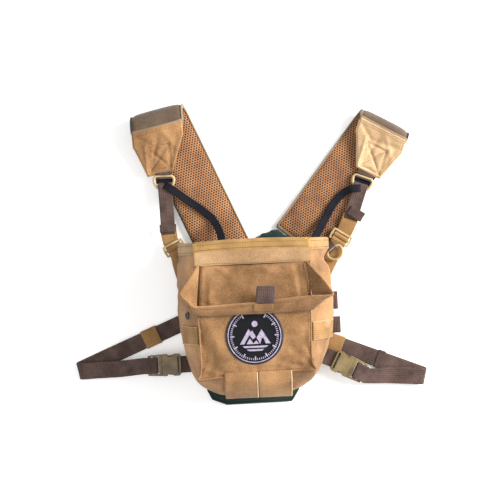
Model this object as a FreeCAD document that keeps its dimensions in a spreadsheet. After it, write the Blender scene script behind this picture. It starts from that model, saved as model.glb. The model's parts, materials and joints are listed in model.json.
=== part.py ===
"""Binocular harness pack, laid out flat on its back: an open pouch on a back yoke, with its straps and buckles.

X runs across the pack, Y from the pouch's base to its mouth, and Z up from the surface that it lies on.
The origin is on that surface, under the middle of the pack's outline. All sizes are millimetres.
"""

import FreeCAD, Part
import math
import os
import Sketcher

Vector = FreeCAD.Vector
Rotation = FreeCAD.Rotation
UP = Vector(0, 0, 1)

DIMENSIONS = {
    # pouch
    "pouch_x": (6.5, "middle of the pouch"),
    "rim_y": (12.5, "top of the pouch walls"),
    "knee_y": (-100, "where the side walls begin to taper"),
    "front_seam_y": (-138, "lower edge of the front wall"),
    "base_y": (-164, "lowest point of the rounded base"),
    "back_base_y": (-153, "lower edge of the back wall"),
    "back_z": (16, "outer face of the back wall"),
    "front_z": (88, "outer face of the front wall"),
    "wall": (4, "padded wall thickness"),
    "front_half": (66, "half width of the front wall"),
    "front_low_half": (66, "half width of the front wall at its lower edge"),
    "back_half": (87, "half width of the back wall"),
    "back_low_half": (64, "half width of the back wall at its lower edge"),
    "tape": (1, "binding tape thickness"),
    "tape_drop": (12, "width of the binding tape"),
    "foam": (4, "foam pad thickness"),
    # lid
    "lid_clear": (1.6, "gap between the front wall and the open lid"),
    "lid_sheet": (1.2, "outer sheet of the lid"),
    "lid_board": (1.3, "stiffener of the lid"),
    "lid_seam_y": (-11, "seam between the hinge strip and the lid panel"),
    "lid_far_y": (-69, "far edge of the lid panel"),
    "lid_half": (66, "half width of the lid at its hinge"),
    "lid_far_half": (70, "half width of the lid at its far edge"),
    "skirt_rise": (14, "height of the lid skirt over the panel"),
    "skirt_lean": (13, "how far the rear skirt leans back over the panel"),
    "skirt_half": (86, "half width across the skirt corners"),
    "skirt_corner_y": (-48, "where the skirt corners are"),
    "skirt": (2.4, "skirt thickness"),
    "magnet": (1.2, "magnet thickness"),
    "pull_x": (20, "middle of the pull tab"),
    "pull_width": (22, "width of the pull tab"),
    # harness
    "pad_thick": (8, "shoulder pad and yoke thickness"),
    "pad_width": (62, "shoulder pad width"),
    "pad_turn": (9, "middle radius of the shoulder pad's fold"),
    "tab_thick": (3, "shoulder tab thickness"),
    "tab_length": (55, "shoulder tab length"),
    "left_over": (9.6, "how far the left pad goes on past its fold"),
    "right_over": (0.3, "how far the right pad goes on past its fold"),
    "tab_full": (16, "length of the tab at full width"),
    "tab_end": (32, "width of the tab at its ring end"),
    "ring_width": (27.6, "ring outer width"),
    "ring_wire": (3.6, "ring wire diameter"),
    "ring_z": (12.5, "height of the shoulder rings"),
    "small_ring_width": (22, "accessory ring outer width"),
    "small_ring_wire": (3, "accessory ring wire diameter"),
    "small_ring_z": (19, "height of the accessory ring"),
    "webbing": (20, "side webbing width"),
    "narrow": (17, "shoulder webbing width"),
    "web": (1.6, "webbing thickness"),
    "tether_width": (9, "tether width"),
    "low_z": (2.4, "middle of the lower run of a side strap"),
    "strap_turn": (3.2, "middle radius of a side strap's fold"),
    "keeper_length": (20, "strap keeper length"),
    "keeper_wall": (1, "strap keeper wall"),
    "keeper_gap": (0.4, "room inside a keeper"),
    # buckle, along its own axis from the anchor end outwards
    "buckle_z": (13, "middle height of the buckles"),
    "buckle_width": (26, "buckle width"),
    "socket_length": (22, "socket length"),
    "socket_height": (9, "socket height"),
    "socket_wall": (1.6, "socket side wall"),
    "cavity_start": (6, "closed end of the socket cavity"),
    "cavity_height": (5.4, "socket cavity height"),
    "window_start": (8, "near end of the side windows"),
    "window_end": (17, "latching edge of the side windows"),
    "notch": (3, "depth of the thumb notches above and below the side windows"),
    "slot_width": (21, "webbing slot width"),
    "slot": (2.4, "webbing slot opening"),
    "plug_start": (22.3, "shoulder of the plug"),
    "plug_end": (39.5, "outer end of the plug"),
    "plug_height": (5, "plug thickness"),
    "prong_tip": (7, "tip of the prongs"),
    "prong_root": (22, "root of the prongs"),
    "prong": (2, "prong thickness"),
    "prong_height": (4.4, "prong height"),
    "prong_gap": (0.3, "room beside a prong"),
    "barb": (1.2, "how far the barbs stand out"),
    "barb_start": (9.5, "highest point of the barbs"),
    "barb_end": (16.5, "outer end of the barb ramps"),
    "guide": (3, "width of the plug's guide rib"),
    "threaded": (20, "length of webbing that is threaded in the plug"),
}

doc = FreeCAD.newDocument("binocular_harness_pack")
sheet = doc.addObject("Spreadsheet::Sheet", "Dims")
for row, (alias, (value, note)) in enumerate(DIMENSIONS.items(), 1):
    sheet.set(f"A{row}", alias)
    sheet.set(f"B{row}", str(value))
    sheet.set(f"C{row}", note)
    sheet.setAlias(f"B{row}", alias)
doc.recompute()

SPARE_CELL = "E1"
known = {}
pieces = []


# ---- helpers -------------------------------------------------------------------------------------


def expression(text):
    """The text with every alias written as the sheet's cell."""
    words = "".join(c if c.isalnum() or c == "_" else " " for c in str(text)).split()
    found = sorted({w for w in words if w in DIMENSIONS}, key=len, reverse=True)
    marked = str(text)
    for index, word in enumerate(found):
        marked = marked.replace(word, f"@{index}@")
    for index, word in enumerate(found):
        marked = marked.replace(f"@{index}@", f"Dims.{word}")
    return marked


def size(text):
    """The value of an expression in the sheet's aliases, worked out by the sheet in a spare cell."""
    text = str(text)
    if text not in known:
        sheet.set(SPARE_CELL, f"={text}")
        sheet.recompute()
        known[text] = float(sheet.get(SPARE_CELL))
    return known[text]


def keep(item, label):
    item.Label = label
    pieces.append(item)
    return item


def plan(x, y, z=0):
    return Vector(x, y, z)


def left_of(direction):
    return Vector(-direction.y, direction.x, 0)


def at(x=0, y=0, z=0, turn=None):
    return FreeCAD.Placement(Vector(x, y, z), turn or Rotation())


def heading(along):
    """The turn about Z that brings +X onto the plan direction along."""
    return Rotation(UP, math.degrees(math.atan2(along.y, along.x)))


def new_sketch(body, name, plane="XY_Plane"):
    sketch = body.newObject("Sketcher::SketchObject", name)
    origin = [f for f in body.Origin.OriginFeatures if f.Role == plane][0]
    sketch.AttachmentSupport = (origin, [""])
    sketch.MapMode = "FlatFace"
    return sketch


def bind(sketch, kind, edge, end, text):
    index = sketch.addConstraint(Sketcher.Constraint(kind, -1, 1, edge, end, size(text)))
    sketch.setExpression(f"Constraints[{index}]", expression(text))


def draw_polygon(sketch, corners):
    """A closed polygon whose corners are pairs of expressions, each bound to the sheet."""
    first = sketch.GeometryCount
    places = [Vector(size(x), size(y), 0) for x, y in corners]
    for here, there in zip(places, places[1:] + places[:1]):
        sketch.addGeometry(Part.LineSegment(here, there))
    for index in range(len(corners)):
        following = first + (index + 1) % len(corners)
        sketch.addConstraint(Sketcher.Constraint("Coincident", first + index, 2, following, 1))
    for index, (x, y) in enumerate(corners):
        bind(sketch, "DistanceX", first + index, 1, x)
        bind(sketch, "DistanceY", first + index, 1, y)


def draw_circle(sketch, radius):
    edge = sketch.addGeometry(Part.Circle(Vector(), UP, size(radius)))
    sketch.addConstraint(Sketcher.Constraint("Coincident", edge, 3, -1, 1))
    index = sketch.addConstraint(Sketcher.Constraint("Radius", edge, size(radius)))
    sketch.setExpression(f"Constraints[{index}]", expression(radius))


def draw(sketch, loop):
    """A loop is a list of corners, or the radius of a circle about the origin."""
    if isinstance(loop, list):
        draw_polygon(sketch, loop)
    else:
        draw_circle(sketch, loop)


def rectangle(x_low, x_high, y_low, y_high):
    return [(x_low, y_low), (x_high, y_low), (x_high, y_high), (x_low, y_high)]


def centred(half_x, y_low, y_high):
    return rectangle(f"-({half_x})", half_x, y_low, y_high)


def plate(label, loops, thickness, place=None, midplane=False, plane="XY_Plane"):
    """A body padded from closed loops drawn on one of its planes."""
    body = doc.addObject("PartDesign::Body", label)
    sketch = new_sketch(body, label + "_outline", plane)
    for loop in loops:
        draw(sketch, loop)
    pad = body.newObject("PartDesign::Pad", label + "_pad")
    pad.Profile = sketch
    pad.setExpression("Length", expression(thickness))
    pad.Midplane = midplane
    if place:
        body.Placement = place
    return body


def cut(body, name, loop, depth, start="0", both=False):
    """A pocket from a loop drawn at height start: up by depth, or half of depth both ways."""
    sketch = new_sketch(body, name + "_outline")
    sketch.AttachmentOffset = at(0, 0, size(start))
    draw(sketch, loop)
    doc.recompute()
    before = body.Shape.Volume
    pocket = body.newObject("PartDesign::Pocket", name)
    pocket.Profile = sketch
    pocket.setExpression("Length", expression(depth))
    pocket.Midplane = both
    pocket.Reversed = not both
    doc.recompute()
    if body.Shape.Volume >= before - 1e-6:
        raise RuntimeError(f"{name} cuts nothing")


def group(label, members):
    """One node that holds several separate solids."""
    compound = doc.addObject("Part::Compound", label)
    compound.Links = members
    return keep(compound, label)


def feature(label, shape, place=None):
    """A piece from a shape of Part's own, with its placement set after its shape."""
    item = doc.addObject("Part::Feature", label)
    item.Shape = shape
    if place:
        item.Placement = place
    return item


def ruled(*outlines):
    """A closed solid through outlines with as many corners each, by ruled faces."""
    return Part.makeLoft([Part.makePolygon(c + c[:1]) for c in outlines], True, True)


def ribbon(stations, thickness):
    """A solid of flat section through stations, each (middle, half of the width as a vector, normal)."""
    outlines = []
    for middle, half, normal in stations:
        lift = normal * (thickness / 2)
        low, high = middle - lift, middle + lift
        outlines.append([low - half, low + half, high + half, high - half])
    return ruled(*outlines)


def strip(middles, width, thickness):
    """A flat strap along middles, each section square to its neighbours' direction."""
    stations = []
    for index, middle in enumerate(middles):
        before = middles[max(index - 1, 0)]
        after = middles[min(index + 1, len(middles) - 1)]
        along = (after - before).normalize()
        across = left_of(Vector(along.x, along.y, 0).normalize())
        stations.append((middle, across * (width / 2), along.cross(across).normalize()))
    return ribbon(stations, thickness)


class Fold:
    """A strap that comes in along the surface, turns over a fold line and goes back on top of itself.

    tau is the distance along the strap's fold normal, measured on the unrolled strap from the fold line.
    """

    STEPS = 8

    def __init__(self, start, turn, end, low, radius):
        come = (turn - start).normalize()
        go = (end - turn).normalize()
        self.turn = turn
        self.low = low
        self.radius = radius
        self.normal = (come - go).normalize()
        self.line = left_of(self.normal)
        self.slant = come.dot(self.line) / come.dot(self.normal)
        self.cosine = 1 / math.hypot(1, self.slant)
        self.come_in = (turn - start).Length * self.cosine
        self.go_out = (end - turn).Length * self.cosine
        self.arc = math.pi * radius

    def station(self, tau, width, drop=0):
        """The station at tau on the unrolled strap; drop lowers the outgoing run."""
        angle = min(max(tau / self.radius, 0), math.pi)
        past = max(tau - self.arc, 0)
        reach = min(tau, 0) + self.radius * math.sin(angle) - past
        height = self.low + self.radius * (1 - math.cos(angle)) - drop
        middle = self.turn + self.normal * reach + self.line * (tau * self.slant) + UP * height
        outward = self.normal * math.sin(angle) - UP * math.cos(angle)
        return middle, self.line * (width / 2 / self.cosine), outward

    def bend(self):
        return [self.arc * step / self.STEPS for step in range(self.STEPS + 1)]


# ---- pouch ---------------------------------------------------------------------------------------


def wall_outline(top_half, low_half, low_y):
    """Outline of a front or back wall, about the pouch's middle."""
    return [
        (f"-{low_half}", low_y),
        (low_half, low_y),
        (top_half, "knee_y"),
        (top_half, "rim_y"),
        (f"-{top_half}", "rim_y"),
        (f"-{top_half}", "knee_y"),
    ]


def pouch_walls():
    middle = size("pouch_x")
    front = wall_outline("front_half", "front_low_half", "front_seam_y")
    keep(plate("front_wall", [front], "wall", at(middle, 0, size("front_z - wall"))), "pouch_front_panel")
    back = wall_outline("back_half", "back_low_half", "back_base_y")
    keep(plate("back_wall", [back], "wall", at(middle, 0, size("back_z"))), "pouch_back_panel")
    for side, label in ((-1, "pouch_left_gusset"), (1, "pouch_right_gusset")):
        keep(feature(label, gusset(side)), label)


def gusset_x(z):
    """Distance from the pouch's middle to the outside of a gusset at height z, above the knee."""
    near, far = size("front_z - wall"), size("back_z + wall")
    share = (near - z) / (near - far)
    return size("front_half") + share * size("back_half - front_half")


def gusset(side):
    """A side wall between the front and back walls: three level sections joined by ruled faces."""
    wall = size("wall")
    near, far = size("front_z - wall"), size("back_z + wall")
    levels = [
        (size("rim_y"), size("rim_y"), size("front_half"), size("back_half")),
        (size("knee_y"), size("knee_y"), size("front_half"), size("back_half")),
        (size("front_seam_y"), size("back_base_y"), size("front_low_half"), size("back_low_half")),
    ]
    outlines = []
    for front_y, back_y, front_half, back_half in levels:
        corners = [(front_half, front_y, near), (back_half, back_y, far)]
        corners += [(back_half - wall, back_y, far), (front_half - wall, front_y, near)]
        outlines.append([Vector(size("pouch_x") + side * half, y, z) for half, y, z in corners])
    return ruled(*outlines)


def pouch_base():
    """The rounded base: an arched strip that joins the lower edges of the front and back walls."""
    wall = size("wall")
    half = size("back_low_half - 1")
    front = Vector(0, size("front_seam_y"), size("front_z"))
    back = Vector(0, size("back_base_y"), size("back_z"))
    crown = Vector(0, size("base_y"), size("(front_z + back_z) / 2 - 4"))
    inner = [front - UP * wall, crown + Vector(0, wall, 0), back + UP * wall]
    edges = [
        Part.Arc(front, crown, back).toShape(),
        Part.makeLine(back, inner[2]),
        Part.Arc(inner[2], inner[1], inner[0]).toShape(),
        Part.makeLine(inner[0], front),
    ]
    arch = Part.Face(Part.Wire(edges)).extrude(Vector(2 * half, 0, 0))
    keep(feature("base", arch, at(size("pouch_x") - half)), "pouch_bottom_panel")


def pouch_padding():
    middle = size("pouch_x")
    pad = [("-50", "-149"), ("50", "-149"), ("60", "-30"), ("54", "-10"), ("-54", "-10"), ("-60", "-30")]
    place = at(middle, 0, size("pad_thick"))
    keep(plate("back_padding", [pad], "back_z - pad_thick", place), "pouch_back_padding")
    front_pad = centred("front_low_half - wall - 4", "front_seam_y + 6", "rim_y - 6")
    back_pad = centred("back_low_half - wall - 3", "back_base_y + 12", "rim_y - 6")
    pads = [
        plate("front_foam", [front_pad], "foam", at(middle, 0, size("front_z - wall - foam"))),
        plate("back_foam", [back_pad], "foam", at(middle, 0, size("back_z + wall"))),
    ]
    group("pouch_foam_pads", pads)


def mouth_prism(grow, y_low, y_high):
    """The pouch's cross-section grown by grow on every side, as a prism from y_low to y_high."""
    front, back = size("front_half") + grow, size("back_half") + grow
    low, high = size("back_z") - grow, size("front_z") + grow
    right = [(back, low), (back, size("back_z + wall")), (front, size("front_z - wall")), (front, high)]
    corners = right + [(-x, z) for x, z in reversed(right)]
    outline = [Vector(size("pouch_x") + x, y_low, z) for x, z in corners]
    face = Part.Face(Part.makePolygon(outline + outline[:1]))
    return face.extrude(Vector(0, y_high - y_low, 0))


def rim_binding():
    """Tape folded over the rim: down the outside of all four walls, and over their top edges."""
    tape, rim = size("tape"), size("rim_y")
    outer = mouth_prism(tape, rim - size("tape_drop"), rim + tape)
    walls = mouth_prism(0.05, rim - size("tape_drop"), rim)
    opening = mouth_prism(-size("wall"), rim - 1, rim + 2 * tape)
    keep(feature("binding", outer.cut(walls).cut(opening)), "rim_binding")


def webbing_loops():
    """A band of webbing across each gusset, and two side by side over the pouch's lower front edge."""
    bands = []
    for side in (-1, 1):
        ends = []
        for z in (size("front_z - wall") - 4, size("back_z + wall") + 4):
            x = size("pouch_x") + side * (gusset_x(z) + 0.2)
            ends.append((Vector(x, 0, z), Vector(x + side * 1.2, 0, z)))
        (near, near_out), (far, far_out) = ends
        section = [near, far, far_out, near_out]
        band = ruled([p + plan(0, -99) for p in section], [p + plan(0, -80) for p in section])
        bands.append(feature("gusset_band", band))
    group("gusset_webbing_loops", bands)
    seam, base, front = size("front_seam_y"), size("base_y"), size("front_z")
    side_view = [(seam + 2, front + 0.2), (seam - 12, front - 2), (base - 2.6, front - 30)]
    side_view += [(base - 4.2, front - 29.6), (seam - 13, front - 0.6), (seam + 2, front + 1.6)]
    loops = []
    for x_low, x_high in ((-31, 7), (8, 46)):
        corners = [Vector(x_low, y, z) for y, z in side_view]
        face = Part.Face(Part.makePolygon(corners + corners[:1]))
        loops.append(feature("base_band", face.extrude(Vector(x_high - x_low, 0, 0))))
    group("bottom_webbing_loops", loops)


def pouch_trims():
    patch = plate("patch", ["33"], "1.2", at(5.5, -94, size("front_z")))
    keep(patch, "front_patch")
    drop = size("front_z - back_z - 2 * wall")
    lean = math.degrees(math.atan2(size("back_half - front_half"), drop))
    height = 56
    x = size("pouch_x") - gusset_x(height) - 0.1
    eyelet = plate("eyelet", ["4.6", "2.2"], "1.6", at(x, -68, height, Rotation(Vector(0, 1, 0), lean - 90)))
    keep(eyelet, "side_eyelet")
    tabs = []
    for y_low, y_high, z, reach in ((-71, -50, 30, 106), (-99.5, -80, 24, 108.5)):
        start = size("pouch_x") + gusset_x(z) + 1.7
        outline = rectangle(start, reach, y_low, y_high)
        tabs.append(plate("side_tab", [outline], "2.4", at(0, 0, z)))
    group("right_webbing_tabs", tabs)
    magnets = []
    for side in (-1, 1):
        disc = doc.addObject("Part::Cylinder", "rim_magnet")
        disc.Radius = 4.6
        disc.setExpression("Height", expression("magnet"))
        disc.Placement = at(size("pouch_x") + side * 34, -4.8, size("back_z - magnet") - 0.05)
        magnets.append(disc)
    group("rim_magnets", magnets)


# ---- lid -----------------------------------------------------------------------------------------


def lid():
    """The open lid lies on the front wall: hinge tape, panel with its stiffener, and three skirts."""
    middle = size("pouch_x")
    low = size("front_z + lid_clear")
    tape = centred("lid_half", "rim_y - tape_drop", "rim_y + tape")
    keep(plate("hinge_tape", [tape], "lid_sheet + lid_board", at(middle, 0, low)), "lid_hinge_tape")
    outer = lid_outline("rim_y - tape_drop")
    keep(plate("lid_sheet_plate", [outer], "lid_sheet", at(middle, 0, low)), "lid_outer_sheet")
    board = lid_outline("lid_seam_y")
    place = at(middle, 0, low + size("lid_sheet"))
    keep(plate("lid_board_plate", [board], "lid_board", place), "lid_stiffener")
    top = low + size("lid_sheet + lid_board")
    lid_wings(middle, top)
    lid_rear(middle, top)


def lid_outline(near_y):
    return [
        ("-lid_far_half", "lid_far_y"),
        ("lid_far_half", "lid_far_y"),
        ("lid_half", near_y),
        ("-lid_half", near_y),
    ]


def lid_wings(middle, base):
    """The side skirts: triangles that flare out from the panel's sides to the skirt corners."""
    wings = []
    thick = size("skirt")
    for side in (-1, 1):
        hinge = Vector(middle + side * size("lid_half"), size("lid_seam_y") - 1, base + 0.2)
        far = Vector(middle + side * size("lid_far_half"), size("lid_far_y") + 1, base + 0.2)
        corner = Vector(middle + side * size("skirt_half"), size("skirt_corner_y"), base + size("skirt_rise"))
        inward = Vector(-side * thick, 0, thick * 0.4)
        outer = [hinge, far, corner]
        wings.append(feature("wing", ruled(outer, [p + inward for p in outer])))
    group("lid_side_wings", wings)


def lid_rear(middle, base):
    """The rear skirt leans from the panel's far edge back over it, and has a tab on its free edge."""
    rise, lean = size("skirt_rise"), size("skirt_lean")
    length = math.hypot(rise, lean)
    tilt = Rotation(Vector(1, 0, 0), math.degrees(math.atan2(rise, lean)))
    place = at(middle, size("lid_far_y"), base + 0.3, tilt)
    half = size("lid_far_half - 5")
    outline = [(-half, "0"), (half, "0"), (half + 5, length), (-half - 5, length)]
    skirt = plate("rear_skirt", [outline], "skirt", place)
    for index, side in enumerate((-1, 1)):
        pocket = rectangle(side * 34 - 7, side * 34 + 7, "6", "14")
        cut(skirt, f"magnet_pocket_{index}", pocket, "magnet", "skirt - magnet")
    keep(skirt, "lid_rear_skirt")
    magnets = []
    for side in (-1, 1):
        bar = rectangle(side * 34 - 6.8, side * 34 + 6.8, "6.2", "13.8")
        seat = place.multiply(at(0, 0, size("skirt - magnet")))
        magnets.append(plate("lid_magnet", [bar], "magnet - 0.1", seat))
    group("lid_magnets", magnets)
    edge = place.multVec(Vector(0, length + 0.4, size("skirt") / 2))
    tab_place = at(size("pull_x"), edge.y, edge.z, Rotation(Vector(1, 0, 0), 18))
    tab = centred("pull_width / 2", "0", "20")
    keep(plate("pull_tab", [tab], "2", tab_place), "lid_pull_tab")


# ---- yoke and shoulder pads ----------------------------------------------------------------------

SHOULDERS = {
    "left": {
        "start": plan(-24, 2.5),
        "turn": plan(-93.8, 165),
        "end": plan(-92.4, 100),
        "over": "left_over",
    },
    "right": {
        "start": plan(63, 12),
        "turn": plan(166.5, 141.8),
        "end": plan(146.8, 91.3),
        "over": "right_over",
    },
}


def shoulder_corners(side):
    """The two corners of a shoulder pad's lower end, first the one on its left."""
    points = SHOULDERS[side]
    along = (points["turn"] - points["start"]).normalize()
    half = left_of(along) * (size("pad_width") / 2)
    return points["start"] + half, points["start"] - half


def yoke():
    """The back panel: its two slanted top edges take the shoulder pads, with a small peak between them."""
    left_outer, left_inner = shoulder_corners("left")
    right_inner, right_outer = shoulder_corners("right")
    outline = [(p.x, p.y) for p in (left_outer, left_inner)]
    outline.append((20.5, 28))
    outline += [(p.x, p.y) for p in (right_inner, right_outer)]
    outline += [(57, -150), (54, -173), (42, -183.5), (-34, -184), (-48, -180), (-56, -166)]
    keep(plate("yoke", [outline], "pad_thick"), "yoke_panel")


def shoulder(side):
    """A padded strap from the yoke, folded over at its far end, with a fabric tab sewn on."""
    points = SHOULDERS[side]
    width, thick = size("pad_width"), size("pad_thick")
    fold = Fold(points["start"], points["turn"], points["end"], thick / 2, size("pad_turn"))
    over = size(points["over"])
    along = (points["turn"] - points["start"]).normalize()
    lower_end = (points["start"] + UP * (thick / 2), left_of(along) * (width / 2), UP * -1)
    sink = fold.low + 2 * fold.radius - size("ring_z")
    fall = sink / size("tab_length")
    stations = [lower_end] + [fold.station(tau, width) for tau in fold.bend()]
    stations.append(fold.station(fold.arc + over * fold.cosine, width, fall * over))
    keep(feature(f"{side}_pad", ribbon(stations, thick)), f"{side}_shoulder_pad")
    stations = []
    for run in (0.3, size("tab_full"), size("tab_length")):
        tab_width = size("tab_end") if run == size("tab_length") else width
        tau = fold.arc + (over + run) * fold.cosine
        drop = sink if run == size("tab_length") else fall * (over + run)
        stations.append(fold.station(tau, tab_width, drop))
    keep(feature(f"{side}_tab", ribbon(stations, size("tab_thick"))), f"{side}_shoulder_tab")


# ---- rings, ladder locks and shoulder webbing ----------------------------------------------------

RINGS = {
    "left": {"bar": plan(-94, 96.3), "turn": 0, "tongue": 2.7},
    "right": {"bar": plan(145.3, 84.2), "turn": -21.7, "tongue": 5.1},
}
UPPER = {
    "left": {"top": plan(-92.8, 80.7), "foot": plan(-91.8, 28.5)},
    "right": {"top": plan(139.2, 69.3), "foot": plan(127.3, 36)},
}
TAN = {
    "left": [plan(-91.4, 25.4), plan(-89.2, 18.2)],
    "right": [plan(126.2, 33.4), plan(118.6, 20.2)],
}
LOCKS = {
    "left": {"middle": plan(-85.5, 10.2), "turn": 26},
    "right": {"middle": plan(114.2, 13.2), "turn": -34},
}
LOWER = {
    "left": [plan(-81.4, 1.4), plan(-79, -10), plan(-74, -30)],
    "right": [plan(109.4, 6), plan(103.5, -6), plan(88, -34)],
}
ACCESSORY = {"bar": plan(103, 0), "turn": 38}
LOCK_Z = 12.5


def ring_shape(width, wire):
    """A D ring about its straight bar: the bar lies on X at the origin and the bow points to -Y."""
    bow = (width - wire) / 2
    corner = 4
    side = bow - corner
    inset = corner * (1 - math.sqrt(0.5))
    edges = [
        Part.LineSegment(Vector(-side, 0, 0), Vector(side, 0, 0)),
        Part.Arc(Vector(side, 0, 0), Vector(bow - inset, -inset, 0), Vector(bow, -corner, 0)),
        Part.Arc(Vector(bow, -corner, 0), Vector(0, -corner - bow, 0), Vector(-bow, -corner, 0)),
        Part.Arc(Vector(-bow, -corner, 0), Vector(inset - bow, -inset, 0), Vector(-side, 0, 0)),
    ]
    path = Part.Wire([e.toShape() for e in edges])
    section = Part.Wire([Part.Circle(Vector(-side, 0, 0), Vector(1, 0, 0), wire / 2).toShape()])
    return path.makePipeShell([section], True, True)


def sleeve_with_tongue(width, wire, tongue):
    """Webbing wrapped round a ring's bar on X, with its two ends going out to +Y as one tongue."""
    thick = 1.2
    inner = wire / 2 + 0.2
    start = Vector(-width / 2, 0, 0)
    axis = Vector(1, 0, 0)
    sleeve = Part.makeCylinder(inner + thick, width, start, axis)
    flat = Part.makeBox(width, tongue, 2 * thick, Vector(-width / 2, 0, -thick))
    return sleeve.fuse(flat).cut(Part.makeCylinder(inner, width, start, axis)).removeSplitter()


def rings():
    loops = []
    for side in ("left", "right"):
        bar = RINGS[side]["bar"]
        place = at(bar.x, bar.y, size("ring_z"), Rotation(UP, RINGS[side]["turn"]))
        ring = feature(f"{side}_ring", ring_shape(size("ring_width"), size("ring_wire")), place)
        keep(ring, f"{side}_d_ring")
        sleeve = sleeve_with_tongue(14, size("ring_wire"), RINGS[side]["tongue"])
        loops.append(feature("ring_sleeve", sleeve, place))
    group("ring_loops", loops)
    bar = ACCESSORY["bar"]
    place = at(bar.x, bar.y, size("small_ring_z"), Rotation(UP, ACCESSORY["turn"]))
    small = ring_shape(size("small_ring_width"), size("small_ring_wire"))
    keep(feature("small_ring", small, place), "accessory_ring")
    sleeve = sleeve_with_tongue(10, size("small_ring_wire"), 7.4)
    keep(feature("small_sleeve", sleeve, place), "accessory_ring_loop")


def webbing_place(side):
    """At the ring's bow, with -Y down the doubled webbing."""
    top, foot = UPPER[side]["top"], UPPER[side]["foot"]
    along = (foot - top).normalize()
    turn = math.degrees(math.atan2(along.x, -along.y))
    return at(top.x, top.y, size("ring_z"), Rotation(UP, turn))


def upper_webbing(side):
    """Doubled webbing with an eye round a ring's bow, drawn from the side and extruded across."""
    web, width = size("web"), size("narrow")
    room = size("ring_wire") / 2 + 0.5
    high = room + web
    length = (UPPER[side]["foot"] - UPPER[side]["top"]).Length
    outer = [(8.4, high / 2), (5, high), (-6, high), (-16, web), (-length, web)]
    outer += [(y, -z) for y, z in reversed(outer)]
    inner = [(6.8, high / 2 - 1.2), (4.6, room), (-5.6, room), (-13, 0.2)]
    inner += [(y, -z) for y, z in reversed(inner)]
    faces = []
    for outline in (outer, inner):
        corners = [Vector(-width / 2, y, z) for y, z in outline]
        faces.append(Part.Face(Part.makePolygon(corners + corners[:1])))
    eye = faces[0].cut(faces[1]).extrude(Vector(width, 0, 0))
    keep(feature(f"{side}_webbing", eye, webbing_place(side)), f"{side}_upper_webbing")
    lift = UP * size("ring_z")
    tan = strip([p + lift for p in TAN[side]], size("webbing"), 2 * web)
    keep(feature(f"{side}_tan", tan), f"{side}_tan_webbing")


def ladder_lock(side):
    """A frame with two slots, one for the webbing from above and one for the anchor webbing below."""
    lock = LOCKS[side]
    place = at(lock["middle"].x, lock["middle"].y, LOCK_Z, Rotation(UP, lock["turn"]))
    frame = [("-12.4", "-7"), ("12.4", "-7"), ("13.4", "0"), ("12.4", "7"), ("-12.4", "7"), ("-13.4", "0")]
    loops = [frame, centred("10.6", "1.2", "4.8"), centred("10.6", "-4.8", "-1.2")]
    keep(plate(f"{side}_lock", loops, "3.5", place, midplane=True), f"{side}_ladder_lock")


def anchor_webbing():
    """Short webbing from each ladder lock to the pouch, under its back wall."""
    anchors = []
    for side in ("left", "right"):
        heights = (LOCK_Z, LOCK_Z + 1, size("back_z") - 0.85)
        middles = [point + UP * z for point, z in zip(LOWER[side], heights)]
        anchors.append(feature(f"{side}_anchor", strip(middles, size("webbing - 1"), size("web"))))
    group("pouch_anchor_webbings", anchors)


def flat_sleeve(label, width, room_z, wall, length, place):
    """A sleeve along its own X for one flat strap of the given width."""
    half = f"({width}) / 2 + keeper_gap"
    high = f"({room_z}) / 2"
    hole = rectangle(f"-({half})", half, f"-({high})", high)
    outer = rectangle(f"-({half}) - {wall}", f"{half} + {wall}", f"-({high}) - {wall}", f"{high} + {wall}")
    return plate(label, [outer, hole], length, place, midplane=True, plane="YZ_Plane")


def shoulder_keepers():
    """A sliding keeper on the left webbing, and the sewn tail of the right one."""
    top, foot = UPPER["left"]["top"], UPPER["left"]["foot"]
    along = (foot - top).normalize()
    middle = foot - along * 5.5 + UP * size("ring_z")
    place = FreeCAD.Placement(middle, heading(along))
    keeper = flat_sleeve("webbing_keeper", "narrow", "2 * web + 2 * keeper_gap", "keeper_wall", "9", place)
    keep(keeper, "left_webbing_keeper")
    tail = rectangle("-9", "9", "-5.5", "5.5")
    place = at(133, 41, size("ring_z + web") + 0.1, Rotation(UP, -33))
    keep(plate("tail", [tail], "2.2", place), "right_webbing_tail")


TETHERS = {
    "left": [
        (-91, 84.5, 17.5),
        (-82.5, 78.6, 17.3),
        (-74, 72, 13),
        (-64, 64.5, 10.4),
        (-50, 54, 9.8),
        (-38.5, 43, 10.6),
        (-31.5, 30.5, 16),
        (-28, 18, 22.6),
        (-27, 7, 26),
        (-26, -8, 26.6),
        (-25, -24, 26.8),
    ],
    "right": [
        (138, 71, 17.6),
        (129.5, 70.6, 17.4),
        (122, 67.4, 13),
        (114.5, 61.6, 10.4),
        (105.5, 51, 9.8),
        (98, 38.5, 11.4),
        (90.5, 26, 17),
        (83.5, 16, 22.6),
        (78, 5, 26),
        (73, -9, 26.6),
        (68, -24, 26.8),
    ],
}


def tethers():
    """Narrow straps from the shoulder rings over the rim to clips inside the pouch."""
    clips = []
    for side, route in TETHERS.items():
        middles = [Vector(*p) for p in route]
        shape = strip(middles, size("tether_width"), 1.4)
        keep(feature(f"{side}_tether_strap", shape), f"{side}_tether")
        along = (middles[-1] - middles[-2]).normalize()
        outline = rectangle("0", "20", "-7", "7")
        place = FreeCAD.Placement(middles[-1] + along * 0.2, heading(along))
        clips.append(plate(f"{side}_clip", [outline], "5", place, midplane=True))
    group("tether_clips", clips)


# ---- side straps and buckles ---------------------------------------------------------------------

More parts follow.
